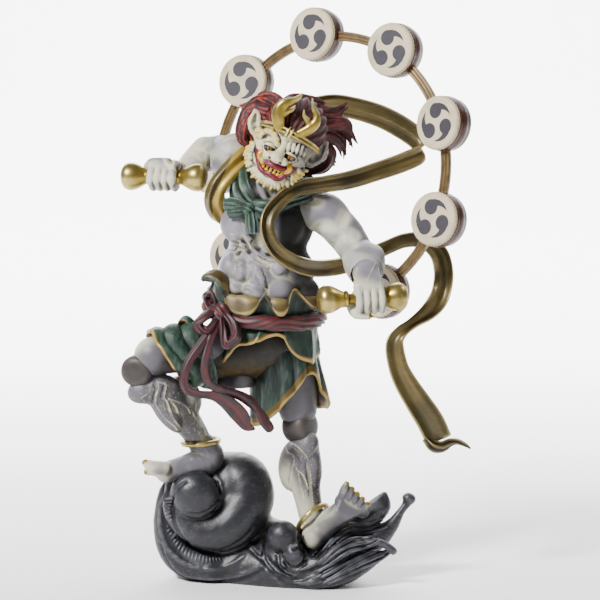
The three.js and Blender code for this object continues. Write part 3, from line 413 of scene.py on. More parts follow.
def joined(shapes):
    """One shape from several."""
    names = sorted({name for shape in shapes for name in shape.marks})
    counts = [len(shape.points) for shape in shapes]
    starts = np.cumsum([0] + counts[:-1])
    marks = {
        name: np.concatenate([
            np.broadcast_to(shape.marks.get(name, 0.0), (count,)) for shape, count in zip(shapes, counts)
        ])
        for name in names
    }
    return Shape(
        np.concatenate([shape.points for shape in shapes]),
        np.concatenate([shape.quads + start for shape, start in zip(shapes, starts)]),
        np.concatenate([shape.triangles + start for shape, start in zip(shapes, starts)]),
        marks,
    )


def rings_shape(rings, joined_up=False):
    """A skin over rings of points, an array (rings, sides, 3)."""
    rings = np.asarray(rings, float)
    count, sides = rings.shape[:2]
    i = np.arange(count if joined_up else count - 1)[:, None]
    j = np.arange(sides)[None, :]
    a = i * sides + j
    b = i * sides + (j + 1) % sides
    c = (i + 1) % count * sides + (j + 1) % sides
    d = (i + 1) % count * sides + j
    quads = np.stack([a, b, c, d], -1).reshape(-1, 4)
    points = rings.reshape(-1, 3)
    triangles = []
    marks = {
        "along": np.repeat(np.arange(count) / max(count - 1, 1), sides),
        "around": np.tile(np.arange(sides) / sides, count),
    }
    if not joined_up:
        poles = rings[[0, -1]].mean(1)
        points = np.concatenate([points, poles])
        marks = {name: np.append(value, [value[0], value[-1]]) for name, value in marks.items()}
        j = np.arange(sides)
        last = (count - 1) * sides
        pole = count * sides
        triangles = np.concatenate([
            np.stack([np.full(sides, pole), (j + 1) % sides, j], 1),
            np.stack([np.full(sides, pole + 1), last + j, last + (j + 1) % sides], 1),
        ])
    return Shape(points, quads, triangles, marks).outward()


def sweep(points, section, wide, spans, closed=False):
    """A band along a path. section(t) gives (sides, 2) numbers across and out, and wide rows of
    directions for across."""
    count = max(int(spans / COARSER), 6)
    t = np.arange(count) / count if closed else np.linspace(0, 1, count)
    line = through(points, t, closed)
    step = 0.2 / count
    tangent = unit(through(points, t + step, closed) - through(points, t - step, closed))
    across = through(wide, t, closed) if np.ndim(wide) == 2 else np.broadcast_to(wide, (count, 3))
    across = unit(across - (across * tangent).sum(1, keepdims=True) * tangent)
    out = np.cross(tangent, across)
    sections = np.array([section(value) for value in t])
    rings = line[:, None] + across[:, None] * sections[..., :1] + out[:, None] * sections[..., 1:]
    return rings_shape(rings, closed)


def tube(stations, sides=10, spans=6, ridges=0, deep=0.0, flat=1.0, side=(0, 0, 1), twist=0.0):
    """A tapered tube through stations (x, y, z, radius), with ridges along it."""
    stations = np.array(stations, float)
    count = max(int(spans * (len(stations) - 1) / COARSER), 4) + 1
    t = np.linspace(0, 1, count)
    line = through(stations, t)
    centre = line[:, :3]
    radius = np.maximum(line[:, 3], 0.04)
    tangent = unit(np.gradient(centre, axis=0))
    frame_side = []
    current = np.array(side, float)
    for k in range(count):
        current = unit(current - (current @ tangent[k]) * tangent[k])
        frame_side.append(current)
    across = np.array(frame_side)
    out = np.cross(tangent, across)
    a = round_turn(sides)
    rings = []
    for k in range(count):
        angle = a + twist * t[k] * TURN
        r = radius[k] * (1 + deep * np.cos(ridges * a))
        rings.append(
            centre[k]
            + across[k] * (r * np.cos(angle))[:, None]
            + out[k] * (r * np.sin(angle) * flat)[:, None]
        )
    return rings_shape(rings)


def lathe(profile, segments, place, axis):
    """A round piece about an axis. The profile is (radius, height) from one pole to the other, and each
    pole moves to the middle of the ring beside it."""
    axis = unit(axis)
    side = unit(np.cross((0, 0, 1), axis))
    top = np.cross(axis, side)
    a = round_turn(segments)
    spoke = side * np.cos(a)[:, None] + top * np.sin(a)[:, None]
    inner = np.asarray(profile, float)[1:-1]
    rings = np.array([np.asarray(place) + spoke * r + axis * h for r, h in inner])
    return rings_shape(rings)


# Paints
def ink(code):
    """The linear colour of a hexadecimal one, made deeper."""
    parts = [int(code[i:i + 2], 16) / 255 for i in (1, 3, 5)]
    linear = np.array([c / 12.92 if c <= 0.04045 else ((c + 0.055) / 1.055) ** 2.4 for c in parts])
    return tuple(np.clip(linear, 0.0005, 1) ** DEEPER) + (1.0,)


class Paint:
    """A material built up in layers, each laid over the ones before where its mask is high."""

    def __init__(self, name, base, rough=0.5, metal=0.0):
        self.material = bpy.data.materials.new(name)
        self.material.use_nodes = True
        self.tree = self.material.node_tree
        self.shader = self.tree.nodes["Principled BSDF"]
        self.coordinates = self.node("ShaderNodeTexCoord").outputs["Object"]
        self.colour = ink(base)
        self.rough = rough
        self.metal = metal

    def node(self, kind, **values):
        made = self.tree.nodes.new(kind)
        for name, value in values.items():
            setattr(made, name, value)
        return made

    def put(self, value, socket):
        if isinstance(value, bpy.types.NodeSocket):
            self.tree.links.new(value, socket)
        else:
            socket.default_value = value

    def between(self, value, low, high):
        made = self.node("ShaderNodeMapRange", interpolation_type="SMOOTHSTEP")
        self.put(value, made.inputs["Value"])
        self.put(low, made.inputs["From Min"])
        self.put(high, made.inputs["From Max"])
        return made.outputs["Result"]

    def mark(self, name, low=0.0, high=1.0):
        """A mask from a value kept on the vertices."""
        return self.between(self.node("ShaderNodeAttribute", attribute_name=name).outputs["Fac"], low, high)

    def noise(self, size, detail=3.0, warp=0.0, stretch=(1, 1, 1)):
        """Noise whose lumps are about that many millimetres across."""
        mapping = self.node("ShaderNodeMapping")
        self.put(self.coordinates, mapping.inputs["Vector"])
        mapping.inputs["Scale"].default_value = tuple(1 / s for s in stretch)
        made = self.node("ShaderNodeTexNoise")
        self.put(mapping.outputs["Vector"], made.inputs["Vector"])
        made.inputs["Scale"].default_value = 1 / (size * MM)
        made.inputs["Detail"].default_value = detail
        made.inputs["Distortion"].default_value = warp
        return made.outputs["Fac"]

    def patches(self, size, low, high, detail=3.0, warp=0.0, stretch=(1, 1, 1)):
        return self.between(self.noise(size, detail, warp, stretch), low, high)

    def sums(self, how, a, b=0.0, clamp=False):
        made = self.node("ShaderNodeMath", operation=how, use_clamp=clamp)
        self.put(a, made.inputs[0])
        self.put(b, made.inputs[1])
        return made.outputs[0]

    def times(self, a, b):
        return self.sums("MULTIPLY", a, b, True)

    def stripes(self, name, count, warp, low, high):
        """Wavering lines across a value kept on the vertices."""
        value = self.node("ShaderNodeAttribute", attribute_name=name).outputs["Fac"]
        turned = self.sums("ADD", self.sums("MULTIPLY", value, count * TURN),
                           self.sums("MULTIPLY", self.noise(2.5, 2), warp * TURN))
        return self.between(self.sums("SINE", turned), low, high)

    def blend(self, a, b, mask):
        made = self.node("ShaderNodeMix", data_type="FLOAT")
        self.put(mask, made.inputs[0])
        self.put(a, made.inputs[2])
        self.put(b, made.inputs[3])
        return made.outputs[0]

    def layer(self, mask, colour, strength=1.0, rough=None, metal=None):
        if strength < 1:
            mask = self.times(mask, strength)
        made = self.node("ShaderNodeMix", data_type="RGBA")
        self.put(mask, made.inputs[0])
        self.put(self.colour, made.inputs[6])
        self.put(ink(colour), made.inputs[7])
        self.colour = made.outputs[2]
        if rough is not None:
            self.rough = self.blend(self.rough, rough, mask)
        if metal is not None:
            self.metal = self.blend(self.metal, metal, mask)
        return self

    def grain(self, size, depth, detail=4.0, stretch=(1, 1, 1)):
        """Fine unevenness of the surface, in millimetres."""
        bump = self.node("ShaderNodeBump")
        bump.inputs["Distance"].default_value = depth * MM
        bump.inputs["Strength"].default_value = 1.0
        self.put(self.noise(size, detail, 0.0, stretch), bump.inputs["Height"])
        self.put(bump.outputs["Normal"], self.shader.inputs["Normal"])
        return self

    def done(self):
        self.put(self.colour, self.shader.inputs["Base Color"])
        self.put(self.rough, self.shader.inputs["Roughness"])
        self.put(self.metal, self.shader.inputs["Metallic"])
        return self.material


def skin_paint():
    p = Paint("skin_paint", "#96939a", 0.48)
    p.layer(p.patches(6, 0.4, 0.62, 2), "#7d7a82", 0.6)
    p.layer(p.mark("grey"), "#615e64", 0.75)
    p.layer(p.mark("pale", 0.05, 0.95), "#dedbc6", 0.88)
    p.layer(p.times(p.mark("pale", 0.2, 0.8), p.patches(4, 0.46, 0.66, 3)), "#b4b1b3", 0.55)
    p.layer(p.mark("hollow", 0.04, 0.45), "#d3cfb2", 0.6)
    # Painted shade on the sides that face right and down, away from the key light.
    p.layer(p.times(p.mark("dim", 0.0, 0.9), p.patches(5, 0.15, 0.45)), "#46413f", 0.85)
    p.layer(p.mark("relief", -0.12, -0.7), "#453e3a", 0.85)
    p.layer(p.times(p.mark("relief", 0.15, 0.9), p.patches(3, 0.3, 0.6)), "#efecdc", 0.5)
    p.layer(p.times(p.mark("vein", 0.05, 0.95), p.patches(2.4, 0.22, 0.44)), "#eae4be", 0.9)
    p.layer(p.times(p.mark("rough", 0.3, 0.9), p.patches(0.9, 0.5, 0.6, 1)), "#e2dfc8", 0.6)
    p.layer(p.times(p.mark("speck"), p.patches(0.7, 0.58, 0.66, 3)), "#d6d2ba", 0.3)
    # Painted shadow, nearly black and matte, on the figure's left chest and belly where the scarf and the arm
    # shade them.
    p.layer(p.mark("gloom", 0.05, 0.95), "#191413", 0.95, rough=0.85)
    p.layer(p.mark("nail", 0.35, 0.65), "#9c8a44", 1, rough=0.3, metal=0.6)
    p.grain(0.5, 0.03)
    return p.done()


def face_paint():
    p = Paint("face_paint", "#d6cfb0", 0.5)
    p.layer(p.mark("shade"), "#726d74", 0.85)
    p.layer(p.mark("relief", 0.03, -0.34), "#413b2e", 0.9)
    p.layer(p.mark("relief", 0.15, 0.7), "#f4f1de", 0.7)
    p.layer(p.mark("curl", 0.2, 0.8), "#d9c35c", 0.85)
    p.layer(p.mark("lip", 0.4, 0.6), "#7c1034", 1, rough=0.4)
    p.layer(p.times(p.mark("lip", 0.4, 0.6), p.mark("relief", 0.25, 0.9)), "#a83a5c", 0.35)
    p.layer(p.mark("mouth", 0.4, 0.6), "#1c0608", 1)
    p.layer(p.mark("tooth", 0.4, 0.6), "#d2b34a", 1, rough=0.3, metal=0.3)
    p.layer(p.times(p.mark("tooth", 0.4, 0.6), p.mark("relief", -0.1, -0.6)), "#6b4a16", 0.8)
    p.layer(p.mark("rim", 0.4, 0.6), "#100d0a", 1, rough=0.4)
    p.layer(p.mark("iris", 0.4, 0.6), "#a5813f", 1, rough=0.25)
    p.layer(p.mark("pupil", 0.4, 0.6), "#0a0604", 1, rough=0.2)
    p.grain(0.4, 0.015)
    return p.done()


def hair_paint():
    p = Paint("hair_paint", "#4c1e22", 0.66)
    p.layer(p.patches(7, 0.42, 0.62, 2), "#2e181d", 0.8)
    p.layer(p.stripes("strand", 2, 2.4, -0.4, 0.8), "#642628", 0.75)
    p.layer(p.times(p.stripes("strand", 2, 2.4, 0.2, 0.9), p.patches(4, 0.46, 0.62)), "#8c342b", 0.7)
    p.layer(p.times(p.stripes("strand", 2, 2.4, 0.1, 0.8), p.mark("lit", 0.2, 0.9)), "#a9422f", 0.7)
    p.layer(p.mark("relief", -0.05, -0.55), "#120a0c", 0.92)
    p.grain(0.35, 0.03, 3, (1, 1, 3))
    return p.done()


def gold_paint():
    p = Paint("gold_paint", "#b4a05a", 0.3, 0.85)
    p.layer(p.mark("relief", -0.03, -0.5), "#46320f", 0.9, rough=0.5)
    p.layer(p.mark("relief", 0.1, 0.7), "#f4e8b4", 0.75)
    p.layer(p.patches(3, 0.42, 0.66), "#85743e", 0.5, rough=0.42)
    p.grain(0.4, 0.012)
    return p.done()


def green_paint():
    p = Paint("green_paint", "#334b3f", 0.56)
    p.layer(p.patches(7, 0.42, 0.6, 2), "#222f30", 0.85)
    p.layer(p.mark("relief", 0.0, -0.45), "#0a0f0e", 0.92)
    p.layer(p.mark("relief", 0.05, 0.5), "#507658", 0.7)
    p.layer(p.times(p.mark("relief", 0.1, 0.6), p.patches(5, 0.45, 0.6, 2)), "#77858a", 0.75)
    p.layer(p.times(p.mark("relief", 0.35, 0.9), p.patches(1.6, 0.4, 0.6)), "#a9bdb0", 0.55)
    threads = p.patches(0.9, 0.5, 0.66, 2, 0.3, (1, 1, 16))
    p.layer(p.times(p.mark("relief", -0.2, 0.3), threads), "#6f8f7c", 0.35)
    lined = p.mark("lining", 0.45, 0.55)
    p.layer(lined, "#544529", 1, rough=0.48, metal=0.2)
    p.layer(p.times(lined, p.patches(3, 0.35, 0.62)), "#716134", 0.6)
    p.layer(p.times(lined, p.mark("relief", -0.02, -0.6)), "#1e160a", 0.9)
    p.layer(p.times(lined, p.mark("relief", 0.1, 0.8)), "#a89668", 0.7)
    p.layer(p.mark("hem", 0.35, 0.7), "#7a6637", 0.92, rough=0.4, metal=0.3)
    p.layer(p.times(p.mark("hem", 0.35, 0.7), p.mark("relief", 0.1, 0.7)), "#c2ac70", 0.75)
    # Painted shade, nearly black, inside the front of the trousers' seat.
    p.layer(p.mark("gloom", 0.1, 0.9), "#140e07", 0.9)
    p.grain(0.6, 0.04)
    return p.done()


def sash_paint():
    p = Paint("sash_paint", "#4c3439", 0.5)
    p.layer(p.patches(3, 0.42, 0.6, 2), "#3a2f34", 0.8)
    p.layer(p.mark("relief", 0.1, -0.3), "#8d1519", 0.9)
    p.layer(p.mark("relief", -0.2, -0.6), "#280809", 0.9)
    p.layer(p.mark("relief", 0.35, 0.9), "#7c6a70", 0.75)
    p.layer(p.patches(1.6, 0.5, 0.64), "#751b1f", 0.4)
    p.grain(0.4, 0.02)
    return p.done()


def bronze_paint():
    p = Paint("bronze_paint", "#827550", 0.36, 0.45)
    p.layer(p.patches(20, 0.42, 0.6, 1), "#605a42", 0.8)
    p.layer(p.mark("relief", -0.02, -0.5), "#2a2216", 0.92)
    p.layer(p.mark("relief", 0.1, 0.75), "#c2b283", 0.8, rough=0.3)
    scratches = p.patches(0.7, 0.5, 0.64, 3, 0.4, (6, 6, 1))
    p.layer(p.times(p.mark("relief", -0.2, 0.5), scratches), "#a4936a", 0.35)
    p.layer(p.mark("edge", 0.86, 0.98), "#94804e", 0.5, rough=0.32, metal=0.6)
    # Painted highlight: the shoulder lobe is painted a lighter, less metallic gold where the key light falls,
    # with its own darker hollows and paler ridges.
    p.layer(p.mark("bright", 0.2, 1.0), "#bca254", 0.9, rough=0.38, metal=0.2)
    p.layer(p.times(p.mark("bright", 0.1, 0.9), p.mark("relief", 0.0, -0.5)), "#3c3014", 0.85)
    p.layer(p.times(p.mark("bright", 0.1, 0.9), p.mark("relief", 0.15, 0.7)), "#e8d89c", 0.75)
    p.grain(0.9, 0.03)
    return p.done()


def plain_paint(name, base, low, high, rough, metal=0.0, grain=0.02, spots=3.0):
    """A paint with darker hollows, lighter ridges and faint patches."""
    p = Paint(name, base, rough, metal)
    p.layer(p.patches(spots, 0.45, 0.68), low, 0.3)
    p.layer(p.mark("relief", -0.05, -0.7), low, 0.85)
    p.layer(p.mark("relief", 0.1, 0.8), high, 0.7)
    p.grain(0.5, grain)
    return p.done()


def cloud_paint():
    p = Paint("cloud_paint", "#3a3a40", 0.42)
    p.layer(p.patches(10, 0.4, 0.62, 2), "#2a2a2f", 0.7)
    p.layer(p.mark("relief", -0.02, -0.45), "#0a0a0c", 0.92)
    p.layer(p.mark("relief", 0.1, 0.6), "#66666e", 0.7, rough=0.38)
    p.layer(p.mark("relief", 0.5, 1), "#b4b4bc", 0.75, rough=0.36)
    streaks = p.patches(0.8, 0.52, 0.66, 3, 0.3, (4, 4, 1))
    p.layer(p.times(p.mark("relief", -0.1, 0.6), streaks), "#7c7c84", 0.4)
    p.layer(p.times(p.patches(0.7, 0.5, 0.66, 4), p.patches(8, 0.45, 0.62)), "#5c5c64", 0.45)
    p.grain(0.6, 0.07)
    return p.done()


PAINT = {}


def paint(name):
    """The material of that name, made once."""
    makers = {
        "skin": skin_paint, "face": face_paint, "hair": hair_paint, "gold": gold_paint,
        "green": green_paint, "sash": sash_paint, "bronze": bronze_paint, "cloud": cloud_paint,
        "knee": lambda: plain_paint("knee_paint", "#4c4441", "#2a2422", "#6a5f5b", 0.5),
        "cream": lambda: plain_paint("cream_paint", "#dccfb6", "#a9987a", "#efe8d6", 0.6, spots=5),
        "studs": lambda: plain_paint("stud_paint", "#dcd0a6", "#6d6340", "#f4ecca", 0.5),
        "slate": lambda: plain_paint("slate_paint", "#4d4a52", "#403d46", "#5a5760", 0.6, spots=1.2),
        "wood": lambda: plain_paint("wood_paint", "#5e3526", "#24110b", "#7c4c38", 0.4),
        "rod": lambda: plain_paint("rod_paint", "#8a7656", "#1e160c", "#d8c4a0", 0.36, 0.4),
        "stone": lambda: plain_paint("stage_paint", "#fdfdfd", "#fafafa", "#ffffff", 0.9),
    }
    if name not in PAINT:
        PAINT[name] = makers[name]()
    return PAINT[name]


# Pieces
def added(name, data):
    """A new object in the scene."""
    made = bpy.data.objects.new(name, data)
    bpy.context.scene.collection.objects.link(made)
    return made


def piece(node, shape, slot, reach=0.9, gain=3.0, paints=None, indices=None):
    if "relief" not in shape.marks:
        shape.marks["relief"] = shape.relief(reach, gain)
    name = node + "_visual"
    mesh = bpy.data.meshes.new(name)
    quads, triangles = shape.quads, shape.triangles
    mesh.vertices.add(len(shape.points))
    mesh.vertices.foreach_set("co", (shape.points * MM).ravel())
    mesh.loops.add(quads.size + triangles.size)
    mesh.loops.foreach_set("vertex_index", np.concatenate([quads.ravel(), triangles.ravel()]))
    mesh.polygons.add(len(quads) + len(triangles))
    starts = np.concatenate([np.arange(len(quads)) * 4, quads.size + np.arange(len(triangles)) * 3])
    mesh.polygons.foreach_set("loop_start", starts)
    mesh.polygons.foreach_set("use_smooth", np.ones(len(starts), bool))
    for which in paints or [slot]:
        mesh.materials.append(paint(which))
    if indices is not None:
        mesh.polygons.foreach_set("material_index", indices)
    for mark, values in shape.marks.items():
        if mark in ("along", "around"):
            continue
        mesh.attributes.new(mark, "FLOAT", "POINT").data.foreach_set("value", values.astype(np.float32))
    mesh.update(calc_edges=True)
    made = added(name, mesh)
    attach(made, "root")
    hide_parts(node)


# Flesh
def flesh_marks(shape, size, seed, stretch, pale, drawn, valley):
    """Raised veins, hollows and painted light and dark for bare skin."""
    points = shape.points
    normals = shape.normals()
    wall = cells(points, size, seed, stretch)
    if len(drawn):
        behind = ease(normals[:, 1], -0.25, 0.35)
        away = nearest(points, drawn)
    else:
        behind = np.ones(len(points))
        away = np.full(len(points), FAR)
    patchy = ease(waves(points, 8, seed + 3), -0.5, 0.4)
    line = 0.7 * (size < LINED_BELOW) * (1 - ease(wall, 0.1, 0.5)) * behind * patchy
    bulge = ease(wall, 0, size * 0.4) * (0.06 + 0.12 * behind)
    sink = valley * (1 - ease(away, 0.1, 2))
    shape.points = points + normals * (0.14 * line + bulge - 0.06 - sink)[:, None]
    line = np.maximum(line, 1 - ease(away, 0.0, 0.5))
    shape.marks["vein"] = line
    # Painted shade: skin that faces right and down is marked to be painted darker.
    shape.marks["dim"] = ease(normals @ unit((0.85, -0.1, -0.5)), 0.15, 0.95)
    way, low, high = pale
    span = np.ptp(points, axis=0).max() / 2
    lean = (points - points.mean(0)) @ unit(way) / span
    light = ease(lean + 0.22 * waves(points, 10, seed + 5), low, high)
    shape.marks["pale"] = np.maximum((1 - valley) * light, 1.5 * valley * (1 - ease(away, 0, 4.2)))
    shape.marks["hollow"] = np.clip(-shape.relief(2.6, 1.6), 0, 1)
    return shape


def nearest(points, places):
    """How far each point is from the nearest of many places."""
    tree = KDTree(len(places))
    for i, place in enumerate(places):
        tree.insert(place, i)
    tree.balance()
    return np.array([tree.find(point)[2] for point in points])


def flesh(node, field, size, seed, pale, stretch=(1, 1, 1), veins=(), grooves=(), extra=None, grey=0.0,
          valley=0.0):
    """Bare skin from a field, uneven in cells of a size. pale is the way towards its pale side and where
    along that way it starts and ends. Veins and grooves are paths in the photograph, and a valley is how
    far the skin sinks beside a vein."""
    drawn = [field.draw(path, 0.3, 0.35) for path in veins]
    for path in grooves:
        field.draw(path, 0.36, 0.4, True)
    drawn = [found for found in drawn if len(found)]
    drawn = np.concatenate(drawn) if drawn else np.zeros((0, 3))
    shape = flesh_marks(field.skin(), size, seed, stretch, pale, drawn, valley)
    shape.marks["grey"] = np.full(len(shape.points), grey)
    shape.marks["speck"] = np.full(len(shape.points), grey if size < SPECKED_BELOW else 0.0)
    if extra:
        extra(shape)
    piece(node, shape, "skin")


def mark_nails(shape, tips, low=1.0, high=1.5):
    """Marks the skin near the tips as nails."""
    shape.marks["nail"] = 1 - ease(closest(shape.points, tips), low, high)


TORSO_VEINS = [
    [(230, 234), (244, 236), (248, 242), (251, 249), (257, 255), (265, 259), (276, 260)],
    [(235, 247), (243, 250), (249, 257), (257, 263), (267, 266), (278, 263)],
    [(263, 248), (266, 247), (270, 248), (271, 251), (269, 253), (266, 252), (266, 250)],
    [(242, 223), (245, 226), (244, 231), (248, 235)], [(236, 222), (233, 228), (237, 233)],
    [(236, 240), (240, 241)], [(241, 244), (245, 246), (243, 250)], [(237, 252), (241, 254)],
    [(254, 186), (254, 194), (258, 200), (264, 202)], [(270, 192), (275, 190), (280, 187)],
]
TORSO_GROOVES = [
    [(236, 259), (238, 266), (236, 275), (231, 281)],
    [(238, 268), (243, 265), (249, 266), (252, 272), (251, 278), (246, 281), (238, 282)],
    [(252, 266), (255, 276), (261, 285), (267, 294)],
    [(269, 267), (271, 272), (277, 277), (285, 274), (289, 270)],
    [(233, 283), (240, 288), (252, 292)], [(262, 268), (266, 278), (268, 288)],
]


def build_torso():
    f = Field((-32, -22, 68), (13, 18, 137), 0.54)
    f.ball((-9.5, 2, 112), (14, 10.8, 12.2), k=3)
    f.ball((-10.5, -0.5, 97), (15, 12.6, 11.4), k=3)
    f.ball((-10.5, 1, 82), (14.2, 11.8, 10.4), k=3)
    f.limb([(-19.5, 5.5, 126, 5.8), (-9, 7, 123.5, 7.2), (2.5, 2.5, 117, 6)], k=3)
    f.limb([(-10, 3.5, 119, 7), (-8.4, -4.6, 124.6, 5.2), (-7, -5.4, 130.6, 5)], k=2)
    f.ball((-18, -6.4, 112.5), (6.6, 5.6, 6.4), k=1.2)
    f.ball((-6.5, -6.6, 112), (7.4, 5.2, 6.4), k=2.4)
    f.ball((-22, -5.8, 99.2), (2.8, 4.6, 4.4), (0, 16, 0), k=0.4)
    f.ball((-18.2, -8.6, 98.2), (3.9, 4.8, 4.2), (0, 10, 0), k=0.4)
    f.ball((-12.6, -9.6, 97), (4.4, 4.8, 5.8), (0, -30, 0), k=0.4)
    f.ball((-19.4, -8, 93.4), (4, 4.8, 3), (0, 20, 0), k=0.4)
    f.ball((-13.6, -9.4, 92), (5.2, 5, 3.2), (0, 24, 0), k=0.4)
    f.ball((-6.2, -7.4, 92.6), (6.4, 6.2, 5.8), k=0.5)
    f.ball((-6.4, -9, 99.2), (4.2, 4.6, 3.6), (0, -14, 0), k=0.4)
    f.ball((-1.2, -6, 96.6), (5.4, 5.8, 3.8), (0, 30, 0), k=0.5)
    f.ball((0.8, -4, 91), (5.4, 5.8, 5), k=0.6)
    f.limb([(-17, -12, 109.4, 0.5), (-14.7, -12.8, 105.9, 0.55), (-11.6, -13, 103.4, 0.55),
            (-7.3, -12, 101.8, 0.5), (-2, -9.6, 102.4, 0.4)], k=1.2)
    f.ball((-10.4, -11.9, 105.3), (1.6, 1, 1.5), k=0.6)
    for x, y, z in ((-19.8, -10.4, 108.6), (-17.6, -11.4, 106.4), (-15.6, -12.2, 108.4),
                    (-20.4, -9.6, 105.4)):
        f.ball((x, y + 0.3, z), (1.4, 1.2, 1), (0, 20, 0), k=0.9)
    f.limb([(-12.6, -8.2, 129, 1.2), (-12, -9.2, 124, 1.3), (-10.4, -9.6, 120, 1)], k=1)
    f.limb([(-4.6, -8.4, 129, 1.2), (-6.4, -9.6, 124, 1.3), (-8.2, -9.8, 120, 1)], k=1)
    for s in (-1, 1):
        f.ball((-9 + s * 6.4, 10.4, 116), (5.2, 3, 6.6), (0, s * 10, 0), k=1.4)
        f.ball((-9.6 + s * 4, 11.2, 104), (3.2, 2.2, 9), (0, s * -4, 0), k=1.4)
    f.limb([(-8.6, 13.6, 120, 0.9), (-9.4, 13.4, 108, 1), (-10, 13, 94, 0.9)], k=1.4, cut=True)

    # Painted shadow on the front of the figure's left chest and belly, where the scarf and the arm shade
    # them.
    def gloom(shape):
        p = shape.points
        away = np.maximum(ease(p[:, 0] + 0.35 * waves(p, 6, 13), -8.5, -4.5) * ease(p[:, 2], 99, 103),
                          ease(p[:, 0] + 0.4 * waves(p, 7, 14), -8, 0) * 0.85)
        shape.marks["gloom"] = away * ease(-p[:, 2], -121, -118) * ease(-p[:, 1], -6, 2)

    flesh("torso", f, 7, 11, ((-0.8, -0.2, -0.5), 0.1, 0.9), (1.1, 1, 0.9), TORSO_VEINS, TORSO_GROOVES,
          gloom, valley=0.12)


def muscled(node, low, high, build, seed, cell=0.38, size=6, **options):
    """A limb of bare skin. build lays its muscles into a field between two corners."""
    f = Field(low, high, cell)
    build(f)
    flesh(node, f, size, seed, **options)


ARM_LEFT_VEINS = [
    [(314, 230), (319, 228), (325, 227), (333, 228), (340, 229), (344, 233), (346, 235)],
    [(346, 214), (345, 218), (342, 223), (340, 227)], [(346, 235), (340, 240), (335, 246), (330, 252)],
    [(346, 235), (351, 240), (355, 246)], [(346, 233), (351, 234), (355, 236)],
    [(303, 201), (311, 201), (318, 202)],
]
ARM_RIGHT_VEINS = [
    [(221, 147), (228, 148), (235, 146)], [(212, 154), (216, 153), (220, 153), (223, 156), (226, 161)],
    [(223, 140), (228, 138), (234, 137)], [(213, 154), (211, 157), (210, 162)],
]
HAND_LEFT_VEINS = [
    [(375, 264), (371, 273), (367, 281)], [(357, 268), (355, 278), (354, 285)],
    [(353, 286), (362, 284), (372, 285), (381, 287)], [(378, 268), (380, 277), (380, 285)],
]


def build_arms():
    j = JOINT

    def upper_right(f):
        f.limb([(*j["shoulder_right"], 6), (-22.5, 11, 131, 6.4), (*j["elbow_right"], 5)], k=1)
        f.ball((-21.4, 4.8, 132.4), (5.6, 6.2, 7.4), (0, 24, 0), k=1)

    def fore_right(f):
        a, b = np.array(j["elbow_right"]), np.array(j["wrist_right"])
        f.limb([(*a, 5), (*(mix(a, b, 0.42) + (0, 0, 1)), 5.2), (*mix(a, b, 0.85), 3.6), (*b, 3.2)], k=1)
        f.limb([(*(mix(a, b, 0.1) + (-2, -1, 3)), 1.8), (*(mix(a, b, 0.4) + (-1, -1, 4.6)), 2.2),
                (*(mix(a, b, 0.8) + (0, 0, 2.4)), 1.2)], k=1)

    def upper_left(f):
        f.ball((6.6, -1, 115.6), (8.3, 6.8, 6.2), (0, 8, 0), k=1)
        f.limb([(8, -1.2, 114.6, 5.8), (13.4, -3.6, 109.6, 5.8), (17.4, -6.6, 104, 5.2)], k=1.4)
        f.ball((10.6, -6.2, 110.6), (4.6, 3, 3.8), (0, 40, 0), k=1)
        f.ball((15.6, -2.4, 109.6), (3.4, 3, 5.6), (0, -40, 0), k=1)

    def fore_left(f):
        f.limb([(18.2, -6, 103, 5.2), (19.4, -12, 101.4, 6.3), (20, -17.4, 99.6, 5.6)], k=1)
        f.ball((23.2, -12, 102.4), (2.8, 5.6, 4), (10, 0, 0), k=1)
        f.limb([(20.2, -19, 99, 4.7), (20.8, -27, 96, 5.2)], k=0.3, cut=True)

    muscled("upper_arm_right", (-31, -4, 120), (-10, 27, 143), upper_right, 21,
            pale=((-0.4, 0, 1), 0.5, 1.2), veins=ARM_RIGHT_VEINS, valley=0.4)
    muscled("forearm_right", (-43, -2, 121), (-17, 27, 141), fore_right, 22,
            pale=((-0.9, -0.4, -0.3), -0.6, 0.3))
    muscled("upper_arm_left", (-5, -14, 96), (26, 10, 125), upper_left, 23,
            pale=((-0.5, -0.3, -0.8), -0.35, 0.4), veins=ARM_LEFT_VEINS, grey=0.25, valley=0.55)
    muscled("forearm_left", (8, -28, 88), (31, 2, 112), fore_left, 24,
            pale=((-0.6, -0.3, -0.7), -0.5, 0.2), veins=ARM_LEFT_VEINS, grey=0.25, valley=0.5)


